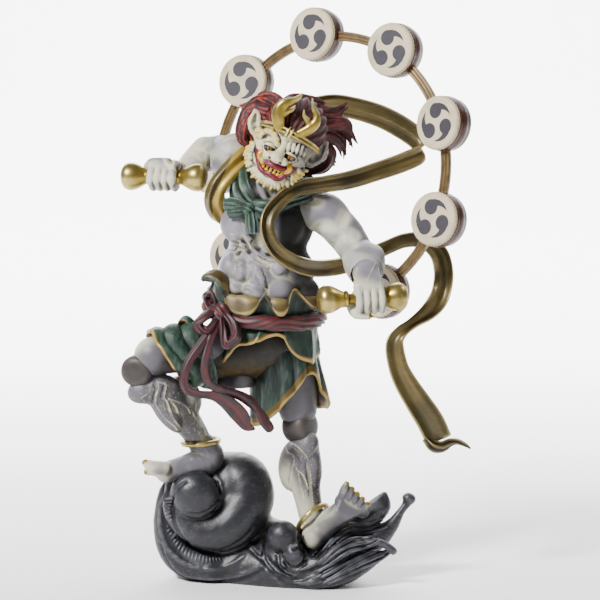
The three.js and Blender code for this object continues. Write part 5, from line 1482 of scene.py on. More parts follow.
def build_trousers():
    def right(a):
        end = compass([33.6, 30, 25.4, 24.4, 24, 27, 30.4, 33], a)
        wave = compass([0.9, -0.5, 0.8, -0.5, 0.6, -0.4, 0.8, -0.6], a + 0.4)
        low = compass([0, 0, 0.2, 0.8, 1, 0.8, 0.2, 0], a)
        return [(9.8 - 1.4 * f + low * (13 * f * (1 - f) - 1.6 * ease(f, 0.8, 1)) + f * wave, end * f)
                for f in (0.58, 0.66, 0.75, 0.83, 0.91, 1)]

    def right_folds(a, f):
        s = 0.58 + 0.42 * f
        swell = np.abs(np.sin(math.pi * (s * 5.6 + 0.3 * math.sin(a * 2) + 0.25 * math.cos(a)))) ** 0.7 - 0.55
        ripple = 0.5 * math.cos(9 * a + 1) * ease(f, 0.6, 1)
        return 0.4 - 1.3 * swell * (1 - 0.85 * ease(f, 0.8, 1)) + ripple

    def left(a):
        end = compass([21, 27.8, 29, 28, 27, 28.5, 27, 16], a)
        out = compass([10.8, 13.4, 14.2, 12, 10.6, 10.8, 10, 9.6], a)
        root = compass([8.6, 9.4, 9.8, 9, 8.6, 8.6, 8.6, 8.6], a)
        return [(root + (out - root) * f, end * f) for f in (0.15, 0.35, 0.5, 0.65, 0.8, 1)]

    def left_folds(a, f):
        swell = np.abs(np.sin(5.5 * a + 0.6 + 0.5 * np.sin(3 * f) + 0.3 * math.sin(2 * a))) ** 0.75 - 0.55
        fine = np.sin(13 * a + 2 * np.sin(4 * f + a))
        return -(1.1 * swell + 0.16 * fine) * (0.35 + 0.65 * f)

    leg = trouser((-15, -1, 75), (-42, -12, 72.4), (0, 0, 1), right, 0.7, right_folds)
    seat = Field((-38, -16, 58), (8, 16, 90), 0.8)
    seat.limb([(-28, -4.6, 71.4, 8.4), (-21, -2.4, 72, 9.8), (-12, 0, 75, 10.8), (-4, 1.4, 78, 9.6)], k=1)
    seat.ball((-19.6, 1, 69), (10.4, 8, 8.4), (0, -8, 0), k=1.5)
    for k in range(9):
        x = -28.6 + 2.4 * k
        seat.limb([(x, -9.4, 78, 0.5), (x + 0.3, -8.6, 73, 0.8), (x + 0.6, -6.6, 67, 0.5)], k=1.4)
    seat = seat.skin()
    front = ease(-seat.points[:, 1], -3, -1)
    seat.marks["lining"] = front
    # Painted shade inside the front of the seat, deepest at its top.
    seat.marks["gloom"] = front * (1 - 0.75 * ease(-seat.points[:, 2], -75, -66))
    corners = [
        curl_of_cloth([(-41.4, -12, 78.4, 1.8), (-44, -12.8, 79.4, 1.8), (-46.2, -13.2, 79, 1.4),
                       (-46.8, -13.2, 77.4, 0.6)],
                      (-1, -0.2, -0.6)),
        curl_of_cloth([(-30, -9.6, 78.4, 2.4), (-33, -10.4, 81.4, 2.2), (-35, -10.6, 83.4, 1.9),
                       (-36.6, -10.2, 82.6, 1.4), (-36.8, -10, 80.6, 0.6)], (-1, -0.1, -0.4)),
    ]
    piece("trouser_right", joined([leg, seat] + corners), "green", 1.3, 2.0)
    leg = trouser((-6, 2, 80), (-1.5, 0.6, 55), (0, -1, 0), left, 2.4, left_folds)
    piece("trouser_left", leg, "green", 1.3, 2.0)


def round_waist(angle, out, up):
    """Places round the waist, whose oval is at 16 out."""
    e = np.asarray(out) / 16
    x, y = BELT_CENTRE
    return np.stack([x + BELT_ACROSS * e * math.sin(angle), y - BELT_DEEP * e * math.cos(angle),
                     up + 0 * e], -1)


# Heights of the skirt's hem and the collar's rim at degrees round the waist, counted from the front
# towards the figure's left.
SKIRT_ANGLES = [-180, -120, -80, -60, -48, -41, -36, -31, -26, -7, 0, 7, 15, 23, 29, 40, 59, 75, 95, 120,
                180]
SKIRT_HEM = [72, 71, 73, 76, 72, 70, 71.4, 74.5, 76.7, 76.9, 78.7, 80, 79.6, 76.3, 74, 71.6, 69.5, 69, 71,
             72, 72]
COLLAR_ANGLES = [-180, -150, -120, -90, -72, -60, -50, -44, -37, -28, -20, -12, -6, -2, 1, 4, 7, 10, 15, 20,
                 24, 28, 33, 39, 47, 56, 66, 78, 90, 120, 150, 180]
COLLAR_RIM = [90, 91, 89.5, 91, 94, 97, 95, 91, 87.6, 86, 85.6, 86, 88, 91, 92.4, 91, 87.6, 86, 85.4, 85.8,
              87.8, 91, 92.4, 91.4, 88, 86, 88, 91, 88, 91, 88.6, 90]


def rim_height(angle, degrees, heights):
    """The height of a wavy rim at an angle round the waist, evened out over a few degrees."""
    at = (math.degrees(angle) + 180) % 360 - 180
    return np.interp(at + np.arange(-4, 5), degrees, heights, period=360).mean()


def build_waist():
    def skirt(a):
        hem = rim_height(a, SKIRT_ANGLES, SKIRT_HEM)
        flare = compass([18, 16.8, 15.6, 16.6, 17.8, 18, 17.6, 18.4], a)
        return [(14.2, 82.6), (14.8, 80.9), (15 * 0.4 + flare * 0.6, 80.9 * 0.45 + hem * 0.55), (flare, hem)]

    def skirt_folds(a, f):
        swell = np.abs(np.sin(5.5 * a + 0.9 * f + 0.5 * math.sin(3 * a))) ** 0.8
        return (0.9 - 1.6 * swell) * ease(f, 0.15, 0.8)

    def collar(a):
        ridge = compass([89.2, 89.4, 89.6, 90, 90, 90, 91, 90.6], a)
        rim = rim_height(a, COLLAR_ANGLES, COLLAR_RIM)
        out = 16.4 + 0.42 * np.clip(91.6 - rim, -0.6, 6)
        return [(14.6, 84.2), (15, 87), (15.3, ridge), (15.3 * 0.45 + out * 0.55, max(ridge, rim) + 0.7),
                (out, rim)]

    def collar_folds(a, f):
        return 0.3 * np.sin(13 * a + 2 * np.sin(5 * f)) * ease(f, 0.2, 0.7)

    piece("skirt", garment(skirt, round_waist, 300, 20, False, 1.1, skirt_folds), "green", 1.2, 2.2)
    tip = curl_of_cloth([(-22.4, -11.4, 91, 1.4), (-23.6, -11.4, 94, 2.6), (-25, -11.4, 96.4, 3.1),
                         (-27, -11.4, 97, 2.9), (-28.8, -11, 96.6, 2.2), (-30, -10.6, 95.6, 0.8)],
                        (0.3, -0.2, 1))
    rim = [round_waist(a, *collar(a)[-1]) for a in round_turn(120)]
    section = oval(round_turn(9), 0.5, 0.45)
    roll = sweep(rim, lambda t: section, (0, 0, 1), 240, True)
    roll.marks["roll"] = np.ones(len(roll.points))
    roll.marks["hem"] = np.full(len(roll.points), 0.47)
    cloth = joined([garment(collar, round_waist, 300, 16, True, 0.1, collar_folds), roll, tip])
    relief = cloth.relief(1.1, 2.4)
    # On the roll the relief is replaced by a painted highlight on the side that faces up and to the upper
    # left, and it is a little darker elsewhere.
    upper = ease(cloth.normals() @ unit((-0.5, -0.3, 0.9)), 0.6, 1)
    cloth.marks["relief"] = mix(relief, 0.75 * upper - 0.1, cloth.marks["roll"])
    piece("waist_cloth", cloth, "green")


def rope(stations, ridges=3, deep=0.2, flat=0.7, twist=0.5, side=(0, 1, 0)):
    return tube(stations, 34, 9, ridges, deep, flat, side, twist)


def build_sash():
    loop = [round_waist(a, 17.6, 84.8 - 1.6 * math.cos(a) - 1.6 * math.sin(a)) for a in round_turn(36)]
    b = round_turn(48)

    def section(t):
        strands = 0.16 * np.cos(7 * b + 6 * math.sin(TURN * t * 3) + 2 * math.sin(TURN * t * 7))
        r = 1 + strands + 0.05 * np.cos(15 * b + 9 * math.sin(TURN * t * 5))
        return oval(b, 2.1 * r, 1.3 * r)

    parts = [sweep(loop, section, (0, 0, 1), 220, True)]
    for path, options in (
        ([(-27.4, -13.8, 86.6, 1.2), (-24.4, -14.4, 86.2, 3), (-21.4, -14.8, 85.6, 1.2)], (7, 0.13, 1, 0.3)),
        ([(-24, -14.6, 86.6, 1.3), (-20.4, -17, 83, 1.9), (-19.6, -18, 79, 2.1), (-22.6, -18.6, 76.8, 2),
          (-23.6, -17.4, 81, 1.6), (-24.4, -15, 85.4, 1.2)], (4,)),
        ([(-25, -14.4, 86.4, 1.3), (-28.8, -16, 85.4, 1.9), (-31.2, -17, 82.6, 2), (-28.4, -17.6, 80.8, 1.9),
          (-25.6, -16, 84.6, 1.2)], (4,)),
        ([(-27.6, -12.8, 88, 1.2), (-29, -12.4, 90.6, 1.5), (-27.2, -12.4, 91.6, 1.3),
          (-25.6, -13, 88.4, 1)], (3,)),
        ([(-24.6, -15, 85, 1.2), (-27.4, -18.6, 78, 1.25), (-29, -20.6, 70.6, 1.25), (-27.9, -21, 65.8, 1.3),
          (-24.2, -20.4, 63.3, 1.4), (-19.2, -18.6, 61.5, 1.4), (-15.5, -17.4, 59.1, 1.6),
          (-13, -16.6, 56, 1.3), (-11.2, -16, 52.7, 1.7), (-9.3, -16, 50.2, 1.4), (-8.8, -16, 49.4, 0.5)],
         (3, 0.16, 0.7, 0.4, (1, 0, 0))),
        ([(-25, -15, 84.6, 1.2), (-29.4, -19, 78.2, 1.3), (-33.8, -21.6, 72.2, 1.25),
          (-35.4, -22.4, 66.7, 1.25), (-34.3, -22.2, 63.4, 1.3), (-31, -21.2, 62, 1.4),
          (-26.3, -20, 61.2, 1.8), (-22.3, -18.8, 59, 2.6),
          (-18.6, -17.8, 55, 3), (-16.4, -17.4, 51.6, 2), (-13.8, -17.4, 50.4, 0.4)],
         (4, 0.16, 0.5, 0.1, (1, 0, 0))),
    ):
        parts.append(rope(path, *options))
    piece("sash", joined(parts), "sash", 0.8, 3.2)


def build_neck_cloth():
    loop = [(-15.5, -12.5, 118), (-18.6, -9.4, 123), (-18.2, -0.6, 128), (-13, 12, 128.4), (-3, 12.6, 124.6),
            (4.6, 5, 122.4), (1.6, -6.6, 121.6), (-5, -12.2, 119.4), (-9, -13.4, 118)]
    b = round_turn(40)

    def section(t):
        wide = 3.6 + 1.6 * math.exp(-((t - 0.14) / 0.1) ** 2) - 1.7 * math.exp(-((t - 0.76) / 0.14) ** 2)
        fold = 0.5 * np.cos(9.5 * np.cos(b) + 2 * math.sin(TURN * t * 2)) * np.sin(b)
        return np.stack([wide * np.cos(b), 0.9 * np.sin(b) + fold], 1)

    slopes = [(0.6 * math.sin(TURN * t), 0, 1) for t in np.arange(8) / 8]
    parts = [sweep(loop, section, slopes, 160, True)]
    for path in (
        [(-16, -14, 118.6, 1.1), (-19.4, -12.8, 119.2, 2), (-23, -11, 118.8, 1.7)],
        [(-16, -14, 118.2, 1.1), (-19, -13.4, 117.2, 1.6), (-22, -11.8, 116.4, 1.3)],
        [(-15.6, -14.2, 118, 1.2), (-12, -14.8, 117.2, 2.8), (-8.2, -13.8, 117, 2.6)],
        [(-15.6, -14.4, 118, 1.2), (-14.8, -15.6, 114.6, 2.2), (-14, -15.2, 110.8, 1.8)],
        [(-17.2, -14.6, 118.6, 1), (-15.6, -15.8, 118, 1.9), (-13.8, -15, 117.4, 1)],
    ):
        parts.append(tube(path, 42, 12, 7, 0.26, 0.6, (0, 0, 1), 0.12))
    piece("neck_cloth", joined(parts), "green", 0.8, 3.0)


# Each row of the scarf is a point, the way its width points and half its width.
SCARF = [
    ((-18, 10, 111), (-1, 0, 0), 2), ((-22.6, 3.6, 112.4), (-0.9, -0.4, 0), 2.4),
    ((-25, -3.4, 115), (-1, -0.2, -0.2), 2.8), ((-26.6, -7, 119.4), (-1, 0, 0.1), 2.9),
    ((-25.4, -7.4, 124), (-1, 0, 0.4), 3), ((-22.2, -6.2, 128.2), (-0.8, 0, 0.7), 3),
    ((-18.6, -3.8, 131.8), (-0.6, 0, 0.8), 3), ((-15, 2.4, 134.8), (-0.5, 0, 0.9), 3),
    ((-12.2, 10.5, 137.6), (-0.3, 0, 1), 3), ((-7, 16.4, 141), (-0.2, 0, 1), 3.2),
    ((0, 18.5, 144.8), (-0.2, 0, 1), 3.3), ((9.4, 18.5, 147), (0, 0, 1), 3.4),
    ((17, 18, 146), (0.2, 0, 1), 3.5), ((25, 17.5, 143.6), (0.3, 0, 1), 3.6),
    ((32, 16.8, 140), (0.3, 0, 1), 3.6), ((37.2, 15.2, 136), (0.2, 0, 1), 3.4),
    ((37.6, 12.4, 132.4), (0, 0, 1), 3.2), ((32.4, 9.4, 130), (-0.2, 0, 1), 3.2),
    ((24, 4.6, 127.6), (-0.2, 0, 1), 3.1), ((15.4, 0, 125.4), (-0.1, 0, 1), 3),
    ((7.2, -5.4, 124.6), (-0.1, 0, 1), 2.7), ((0, -9.8, 124), (-0.2, 0, 1), 2.6),
    ((-5.4, -14, 121.2), (-0.7, -0.2, 0.7), 2.5), ((-9.4, -17.2, 116.6), (-1, -0.3, 0.2), 2.4),
    ((-10, -19, 111.6), (-1, -0.4, 0), 2.4), ((-7.6, -19, 106.4), (-0.9, -0.4, -0.4), 2.5),
    ((-3, -17, 102.4), (-0.5, -0.3, -0.9), 2.6), ((3.1, -12, 99.6), (-0.3, -0.1, -1), 2.7),
    ((9.2, -5, 98.7), (-0.1, 0, -1), 2.8), ((14.9, 2, 98.9), (0, 0, -1), 2.8),
    ((20.6, 8, 100.3), (0.2, 0, -1), 2.6), ((27, 11.8, 102.8), (0.3, 0, -1), 2.4),
    ((33, 13, 105), (0.2, 0, -1), 2.4), ((39, 13.4, 104.8), (-0.4, 0, -1), 2.7),
    ((43.4, 12.4, 101), (-1, 0, -0.5), 3), ((44.9, 11, 95.4), (-1, 0, 0), 3.1),
    ((44.4, 10, 90), (-1, 0, 0.2), 3.1), ((42.8, 8.2, 86.4), (-0.9, 0, 0.5), 3.1),
    ((39.8, 6.2, 83.2), (-0.6, 0.3, 0.7), 2.8), ((35, 4, 80), (-0.3, 0.6, 0.7), 2),
    ((31.2, 2, 77.4), (-0.5, 0.4, 0.7), 2.2), ((29.4, 1, 73.8), (-0.9, 0.1, 0.3), 2.9),
    ((30.6, 0, 67), (-1, 0, -0.2), 3.2), ((33, 0, 61.8), (-1, 0, -0.5), 3.6),
    ((36.7, 0, 55.9), (-0.9, 0, -0.5), 4), ((40.6, 0, 49.8), (-0.9, 0, -0.4), 4.3),
    ((43.4, 0, 43.8), (-0.9, 0, -0.2), 4.2),
]


def build_scarf():
    widths = np.array([row[2] for row in SCARF], float)
    across = np.linspace(-1, 1, 25)

    def section(t):
        w = through(widths, t)[0]
        border = 0.35 * np.exp(-((np.abs(across) - 0.88) / 0.12) ** 2)
        middle = 0.16 * math.sin(TURN * 3 * t) + 0.08 * math.sin(TURN * 7.3 * t)
        ridge = 0.42 * np.exp(-((across - middle) / 0.26) ** 2) * (0.75 + 0.25 * math.sin(TURN * 5.1 * t + 1))
        lobes = 1 - ease(t, 0.17, 0.24)
        double = 1.1 * np.exp(-((across - 0.5) / 0.3) ** 2) + 0.7 * np.exp(-((across + 0.55) / 0.3) ** 2)
        border = border * (1 - lobes)
        ridge = mix(ridge, double, lobes)
        half = 0.36 * np.sqrt(np.maximum(1 - across**8, 0.02))
        sway = 0.16 * math.sin(TURN * 4.3 * t) * np.cos(TURN * 0.5 * across)
        sway = sway + 0.55 * (1 - lobes) * np.cos(TURN * 0.72 * across + 1.3 * math.sin(TURN * 1.7 * t))
        top = np.stack([across * w, half + border + ridge + sway], 1)
        bottom = np.stack([across * w, sway - half - border - ridge * 0.6], 1)[::-1]
        return np.concatenate([top, bottom[1:-1]])

    band = sweep([row[0] for row in SCARF], section, np.array([row[1] for row in SCARF], float), 440)
    curl = tube([(38.8, 0, 44.4, 1.3), (41.4, -0.8, 42.2, 2.4), (44, -0.8, 42, 2.3), (46.6, -0.4, 43.2, 1.8),
                 (49, 0, 43.4, 1.3), (51.4, 0, 42.4, 0.9), (53.2, 0, 41.2, 0.35)], 28, 12, 5, 0.2, 0.7,
                (0, 1, 0), 0.3)
    curl.marks["curl"] = np.ones(len(curl.points))
    # The shoulder lobe carries a painted highlight, weaker on its outer side.
    band.marks["bright"] = np.interp(band.marks["along"], [0, 0.02, 0.07, 0.17, 0.2, 1], [0, 1, 1, 1, 0, 0])
    edge_of_lobe = np.interp(band.points[:, 2], [112, 120, 135], [-26.6, -27, -20])
    band.marks["bright"] *= np.where(band.points[:, 0] > edge_of_lobe, 1, 0.3)
    from_middle = np.abs(np.concatenate([across, across[-2:0:-1]]))
    band.marks["edge"] = np.append(np.tile(from_middle, len(band.points) // len(from_middle)), [1, 1])
    shape = joined([band, curl])
    shape.marks["relief"] = shape.relief(1.1, 3) - 0.4 * shape.marks["curl"]
    piece("scarf", shape, "bronze")


# Ring of drums
DRUM_SIDES, WOOD_COURSES, STUDS, FACE_RIM = 72, 12, 44, 0.955
DRUM_PAINTS = ["cream", "slate", "wood", "studs"]
CREAM, SLATE, WOOD, STUD = range(4)


def ring_axes():
    """The directions to the right and to the top of the ring's plane."""
    normal = facing(RING_AZIMUTH, RING_LEAN)
    side = unit(np.cross((0, 0, 1), normal))
    return side, np.cross(normal, side)


def ring_angle(k):
    return math.radians(RING_START - 360 * k / PLACES)


def on_ring(angle, radius=RING_RADIUS):
    side, top = ring_axes()
    return np.array(RING_CENTRE) + radius * (side * math.cos(angle) + top * math.sin(angle))


# One comma of the drum mark as polar points (radius, degrees), in shares of the drum's radius.
COMMA_HEAD, COMMA_ROUND = 0.455, 0.29
COMMA_OUTER = [(0.68, -79), (0.715, -66), (0.735, -52), (0.75, -35), (0.745, -19)]
COMMA_INNER = [(0.514, -34), (0.56, -44), (0.605, -56), (0.645, -67)]
COMMA_START = 106


def polar(radius, degrees):
    a = math.radians(degrees)
    return radius * math.cos(a), radius * math.sin(a)


def dots(radius, count):
    """Points round a circle."""
    return [(radius * math.cos(a), radius * math.sin(a)) for a in round_turn(count)]


def comma_outline(start):
    """The closed outline of one comma."""
    points = [polar(r, start + a) for r, a in COMMA_OUTER]
    head = np.array(polar(1, start)) * COMMA_HEAD
    for a in np.linspace(-20, 258, 30):
        points.append(tuple(head + COMMA_ROUND * np.array(polar(1, start + a))))
    return points + [polar(r, start + a) for r, a in COMMA_INNER]


def inside(outline, x, y):
    """Whether a point lies within a closed outline."""
    hit = False
    for (x1, y1), (x2, y2) in zip(outline, outline[1:] + outline[:1]):
        if (y1 > y) != (y2 > y) and x < (x2 - x1) * (y - y1) / (y2 - y1) + x1:
            hit = not hit
    return hit


def drum_face():
    """The flat mark: points in the plane, triangles and which of them are slate."""
    commas = [comma_outline(COMMA_START + 120 * k) for k in range(3)]
    points = dots(FACE_RIM, DRUM_SIDES)
    edges = [(i, (i + 1) % DRUM_SIDES) for i in range(DRUM_SIDES)]
    for outline in commas:
        start = len(points)
        points += outline
        edges += [(start + i, start + (i + 1) % len(outline)) for i in range(len(outline))]
    for r, count in ((0.15, 6), (0.86, 40)):
        points += dots(r, count)
    made = delaunay_2d_cdt(points, edges, [], 0, 1e-5)
    flat = np.array([tuple(p) for p in made[0]])
    faces = []
    slate = []
    for face in made[2]:
        x, y = flat[list(face)].mean(0)
        if x * x + y * y < FACE_RIM**2:
            faces.append(face)
            slate.append(any(inside(outline, x, y) for outline in commas))
    return flat, np.array(faces), np.array(slate)


def drum_profile():
    """The radius and the height of a drum's body from its back to its skin."""
    h, r, belly = DRUM_DEPTH / 2, DRUM_RADIUS, DRUM_BELLY
    return [(0, -h), (r - 0.9, -h), (r - 0.35, 0.2 - h), (r - 0.1, 0.5 - h), (r + 0.05, 1.6 - h),
            (r + 0.12, 2.2 - h), (r + 0.2, 2.3 - h), (belly - 0.05, 2.9 - h), (belly, 3.6 - h),
            (belly - 0.1, 4.7 - h), (r + 0.1, 5.4 - h), (r + 0.22, 5.5 - h), (r + 0.22, 5.75 - h),
            (r - 0.02, 5.85 - h), (r - 0.04, h - 0.75), (r + 0.08, h - 0.65), (r + 0.08, h - 0.45),
            (r - 0.12, h - 0.12), (r - 0.34, h), (0, h)]


def build_drum(index, k, flat, faces, slate):
    """A drum at a place of the ring, with the flat mark as its skin and two rows of studs."""
    normal = facing(DRUM_TURNS[k], RING_LEAN)
    top = unit(np.array((0, 0, 1)) - normal[2] * normal)
    side = np.cross(top, normal)
    centre = on_ring(ring_angle(k))
    h = DRUM_DEPTH / 2
    shell = lathe(drum_profile(), DRUM_SIDES, centre, normal)
    shell.triangles = shell.triangles[(shell.triangles < len(shell.points) - 1).all(1)]
    course = np.arange(len(shell.quads)) // DRUM_SIDES
    local = flat * DRUM_RADIUS
    skin = Shape(centre + side * local[:, :1] + top * local[:, 1:] + normal * (h + 0.02), (), faces)
    a, b, c = (skin.points[skin.triangles[:, i]] for i in range(3))
    if (np.cross(b - a, c - a) @ normal).sum() < 0:
        skin.triangles = skin.triangles[:, ::-1]
    bead = lathe([(0, -0.26), (0.18, -0.2), (0.27, 0), (0.18, 0.2), (0, 0.26)], 8, (0, 0, 0), normal)
    studs = []
    for row, height in enumerate((h - 0.75, h - 1.25)):
        for i in range(STUDS):
            a = (i + 0.5 * row) * TURN / STUDS
            out = side * math.cos(a) + top * math.sin(a)
            place = centre + out * (DRUM_RADIUS - 0.02) + normal * height
            studs.append(Shape(bead.points + place, bead.quads, bead.triangles))
    shape = joined([shell, skin] + studs)
    shape.marks = {"relief": shape.relief(0.5, 2.0)}
    indices = np.concatenate([
        np.where(course < WOOD_COURSES, WOOD, CREAM), np.full(len(bead.quads) * len(studs), STUD),
        np.full(len(shell.triangles), WOOD), np.where(slate, SLATE, CREAM),
        np.full(len(bead.triangles) * len(studs), STUD),
    ])
    piece(f"drum_{index}", shape, "drum", paints=DRUM_PAINTS, indices=indices)


def rod_outline():
    """The section of a rod: three ridges side by side, the same on both faces."""
    w = ROD_HALF_WIDTH
    ridge = []
    for centre in (-w * 0.66, 0, w * 0.66):
        for a in np.radians(np.linspace(150, 30, 9)):
            ridge.append((centre + w * 0.36 * math.cos(a), 0.35 + w * 0.4 * math.sin(a)))
    ridge = np.array(ridge)
    return np.concatenate([ridge, ridge[::-1] * (1, -1)])


def build_ring():
    face = drum_face()
    places = [k for k in range(PLACES) if k != BARE]
    for i, k in enumerate(places):
        build_drum(i + 1, k, *face)
    outline = rod_outline()
    margin = 2 * math.asin((DRUM_BELLY - 0.6) / (2 * RING_RADIUS)) / (TURN / PLACES)
    for i, k in enumerate(places):
        span = (places[(i + 1) % len(places)] - k) % PLACES
        angles = [ring_angle(k + margin + (span - 2 * margin) * f) for f in np.linspace(0, 1, 9 * span)]
        points = np.array([on_ring(a, ROD_RADIUS) for a in angles])
        wide = np.array([on_ring(a, 1.0) - np.array(RING_CENTRE) for a in angles])
        piece(f"ring_rod_{i + 1}", sweep(points, lambda t: outline, wide, 14 * span), "rod", 0.5, 5.0)
    shape = tube([(-6, 9, 92, 3), (-4, 17, 88, 2), (*on_ring(ring_angle(BARE), ROD_RADIUS), 2.4)], 32, 12)
    piece("ring_bracket", shape, "rod")


# Half of a club towards one end: the radius and how far it is from the end.
CLUB_HALF = [
    (1.55, 10), (1.55, 9.6), (2.2, 9.5), (2.55, 9.1), (2.6, 8.7), (2.3, 8.3), (2.35, 7.9), (2.8, 7),
    (3.5, 5.8), (4.1, 4.5), (4.35, 3.2), (4.3, 2.1), (3.9, 1.2), (3.1, 0.5), (2.5, 0.25), (2.3, 0.35),
    (1.9, 0.15), (1.2, 0.02), (0, 0),
]


def build_clubs():
    for side, ends in CLUB_ENDS.items():
        a, b = (np.array(end, float) for end in ends)
        half = np.linalg.norm(b - a) / 2
        profile = mirrored([(r, half - back) for r, back in CLUB_HALF])
        piece(f"club_{side}", lathe(profile, 64, (a + b) / 2, b - a), "gold")


# Base
# Lines of the snail-shaped cloud in the photograph's pixels.
WHORL_LIP = [(209, 471), (216, 476), (220.5, 483), (222, 494), (219, 506), (210, 514.5), (199, 517.5),
             (187, 516)]
WHORL_GROOVE = [(207, 474), (213, 478), (217.6, 485), (219, 494), (216, 504), (208, 511.6), (199, 514),
                (189, 513)]
WHORL_SEAM = [(186, 481), (177, 489), (172, 500), (172, 514), (176, 528), (184, 540), (196, 548.5),
              (210, 551.5), (226, 549), (241, 541), (253, 529)]
RIBS_INNER = [(174, 496), (171, 508), (172.5, 522), (177, 535), (186, 546), (198, 553.5), (210, 556.5),
              (221, 556)]
RIBS_OUTER = [(166, 494), (163, 508), (164.6, 525), (170, 541), (180, 554), (194, 562), (209, 565),
              (222, 562)]
RIBS_RIDGE = [(169, 487), (162.6, 500), (160.4, 516), (162.4, 533), (168.6, 548.5), (180, 560), (195, 567),
              (212, 569.5), (230, 565), (244, 556)]
MANTLE = [
    [(250, 545), (257, 552), (266, 559), (275, 570), (285, 578.6), (298, 583), (312, 583.4), (322, 581)],
    [(265, 533), (262.5, 546), (266, 560), (278, 571), (294, 576), (312, 571), (330, 562)],
    [(277, 551), (279, 562), (288, 568.6), (300, 570), (314, 565.6), (328, 556)],
    [(284, 554), (287, 562), (295, 564.4), (302, 561), (305, 553), (300, 546), (293, 546)],
    [(160, 540), (166, 556), (178, 570), (196, 577), (222, 578), (246, 574), (262, 566)],
]
STREAM_TOP = [(313, 556), (322, 545), (335, 530), (349, 523.4), (362, 524), (373, 522), (386, 517)]
STREAM_LOW = [(322, 586.6), (340, 580), (356, 572), (370, 565), (382, 558), (392, 550)]
LEAF = [[(362, 519), (371, 507), (380, 498), (386, 493.6)], [(366, 523), (376, 513), (384, 503), (388, 496)],
        [(371, 525), (381, 515), (388, 506)]]


def laid_in(places, radius, step):
    """A tube along the longest run of places without a jump, as a list of one shape or none."""
    if len(places) < 4:
        return []
    run = places[max(unbroken(places, 3.5), key=len)]
    if len(run) < 4:
        return []
    run = evened(run, 9)[::step]
    made = tube(np.column_stack([run, radius * tapered(len(run), 0.35)]), 7, 2)
    made.marks["lock"] = np.ones(len(made.points))
    return [made]


def cloud_body():
    """The lumps of the cloud: its whorl, what that rests on and the streams to the viewer's right."""
    f = Field((-49, -24, -1), (40, 24, 42), 0.52)
    f.ball((-24.3, 4, 24), (15.6, 12, 15.2), k=2)
    f.ball((-32.6, -8.8, 28.4), (7.6, 6.2, 7.6), k=0.3)
    f.limb([(-39.6, -5, 30, 2.4), (-38.6, -7, 22.4, 3.6), (-31.6, -7.6, 16.8, 5), (-22.6, -5.4, 17.6, 7.2),
            (-17, -1.6, 24.6, 8.6), (-18.2, 1, 30.8, 8.6), (-23, 4, 32, 7)], k=1.2, spans=16)
    f.limb([(-36.6, 1, 34.4, 1.6), (-41, 0, 27, 3.2), (-41.4, -1, 15.6, 4.4), (-37.4, -2, 7.6, 5.4),
            (-28, -4, 4.4, 5.6)], k=1.4)
    f.limb([(-30, 7, 3, 5), (-10, 3, 3, 7), (4, 0, 3, 6)], k=2)
    f.ball((-33, 3, 13), (6, 6, 7), k=1)
    f.limb([(-33, 2, 4.6, 7), (-18, -2, 4, 8.4), (-4, -7, 4.4, 8.8), (6, -9, 5, 8.4), (12, -6, 7.6, 7)], k=2)
    f.limb([(-32, 12, 3, 6), (-14, 15, 3.6, 8), (2, 12, 4, 8), (10, 2, 5, 8)], k=2)
    f.limb([(-14, 3, 12, 8), (-6, 0, 12, 6), (2, -2, 8, 6)], k=2)
    f.ball((-5.3, -11.6, 15.8), (4.9, 4.8, 5), k=0.3)
    f.ball((-1.6, -14, 11), (3.6, 3.6, 3.6), k=0.6)
    f.limb([(8, -4, 9, 7), (16, -4, 12.4, 5.4), (23, -5, 13.4, 4), (28, -4, 17, 2.4), (31.4, -3, 21.8, 1.3),
            (33.6, -2, 24.6, 1.4)], k=1.4)
    f.ball((34, -2, 25.8), (2.2, 2.1, 1.8), (0, 20, 0), k=0.6)
    f.limb([(13, -1, 14, 4.6), (19.6, -1, 18.6, 5.2), (24.4, -1, 23, 4), (26.4, -1, 27.2, 1)], k=0.8,
           flat=0.6)
    f.limb([(1, -13, 8, 2.4), (9, -15.4, 10, 2.6), (16, -14.4, 13.4, 2.2), (23, -12, 13.6, 0.4)], k=1)
    f.limb([(4, -15, 3, 3.4), (12, -14, 4.6, 4), (19, -12.6, 7.4, 3.4), (27, -11, 10.6, 0.8)], k=1)
    f.limb([(18, -11.6, 13.4, 1.8), (22, -13.4, 14.4, 1.4), (26, -14.2, 13.8, 1.2), (28.8, -14, 11.6, 1.3)],
           k=0.5)
    f.ball((3.8, -13, 14.4), (4.8, 8, 4.8), k=1.4, cut=True)
    return f


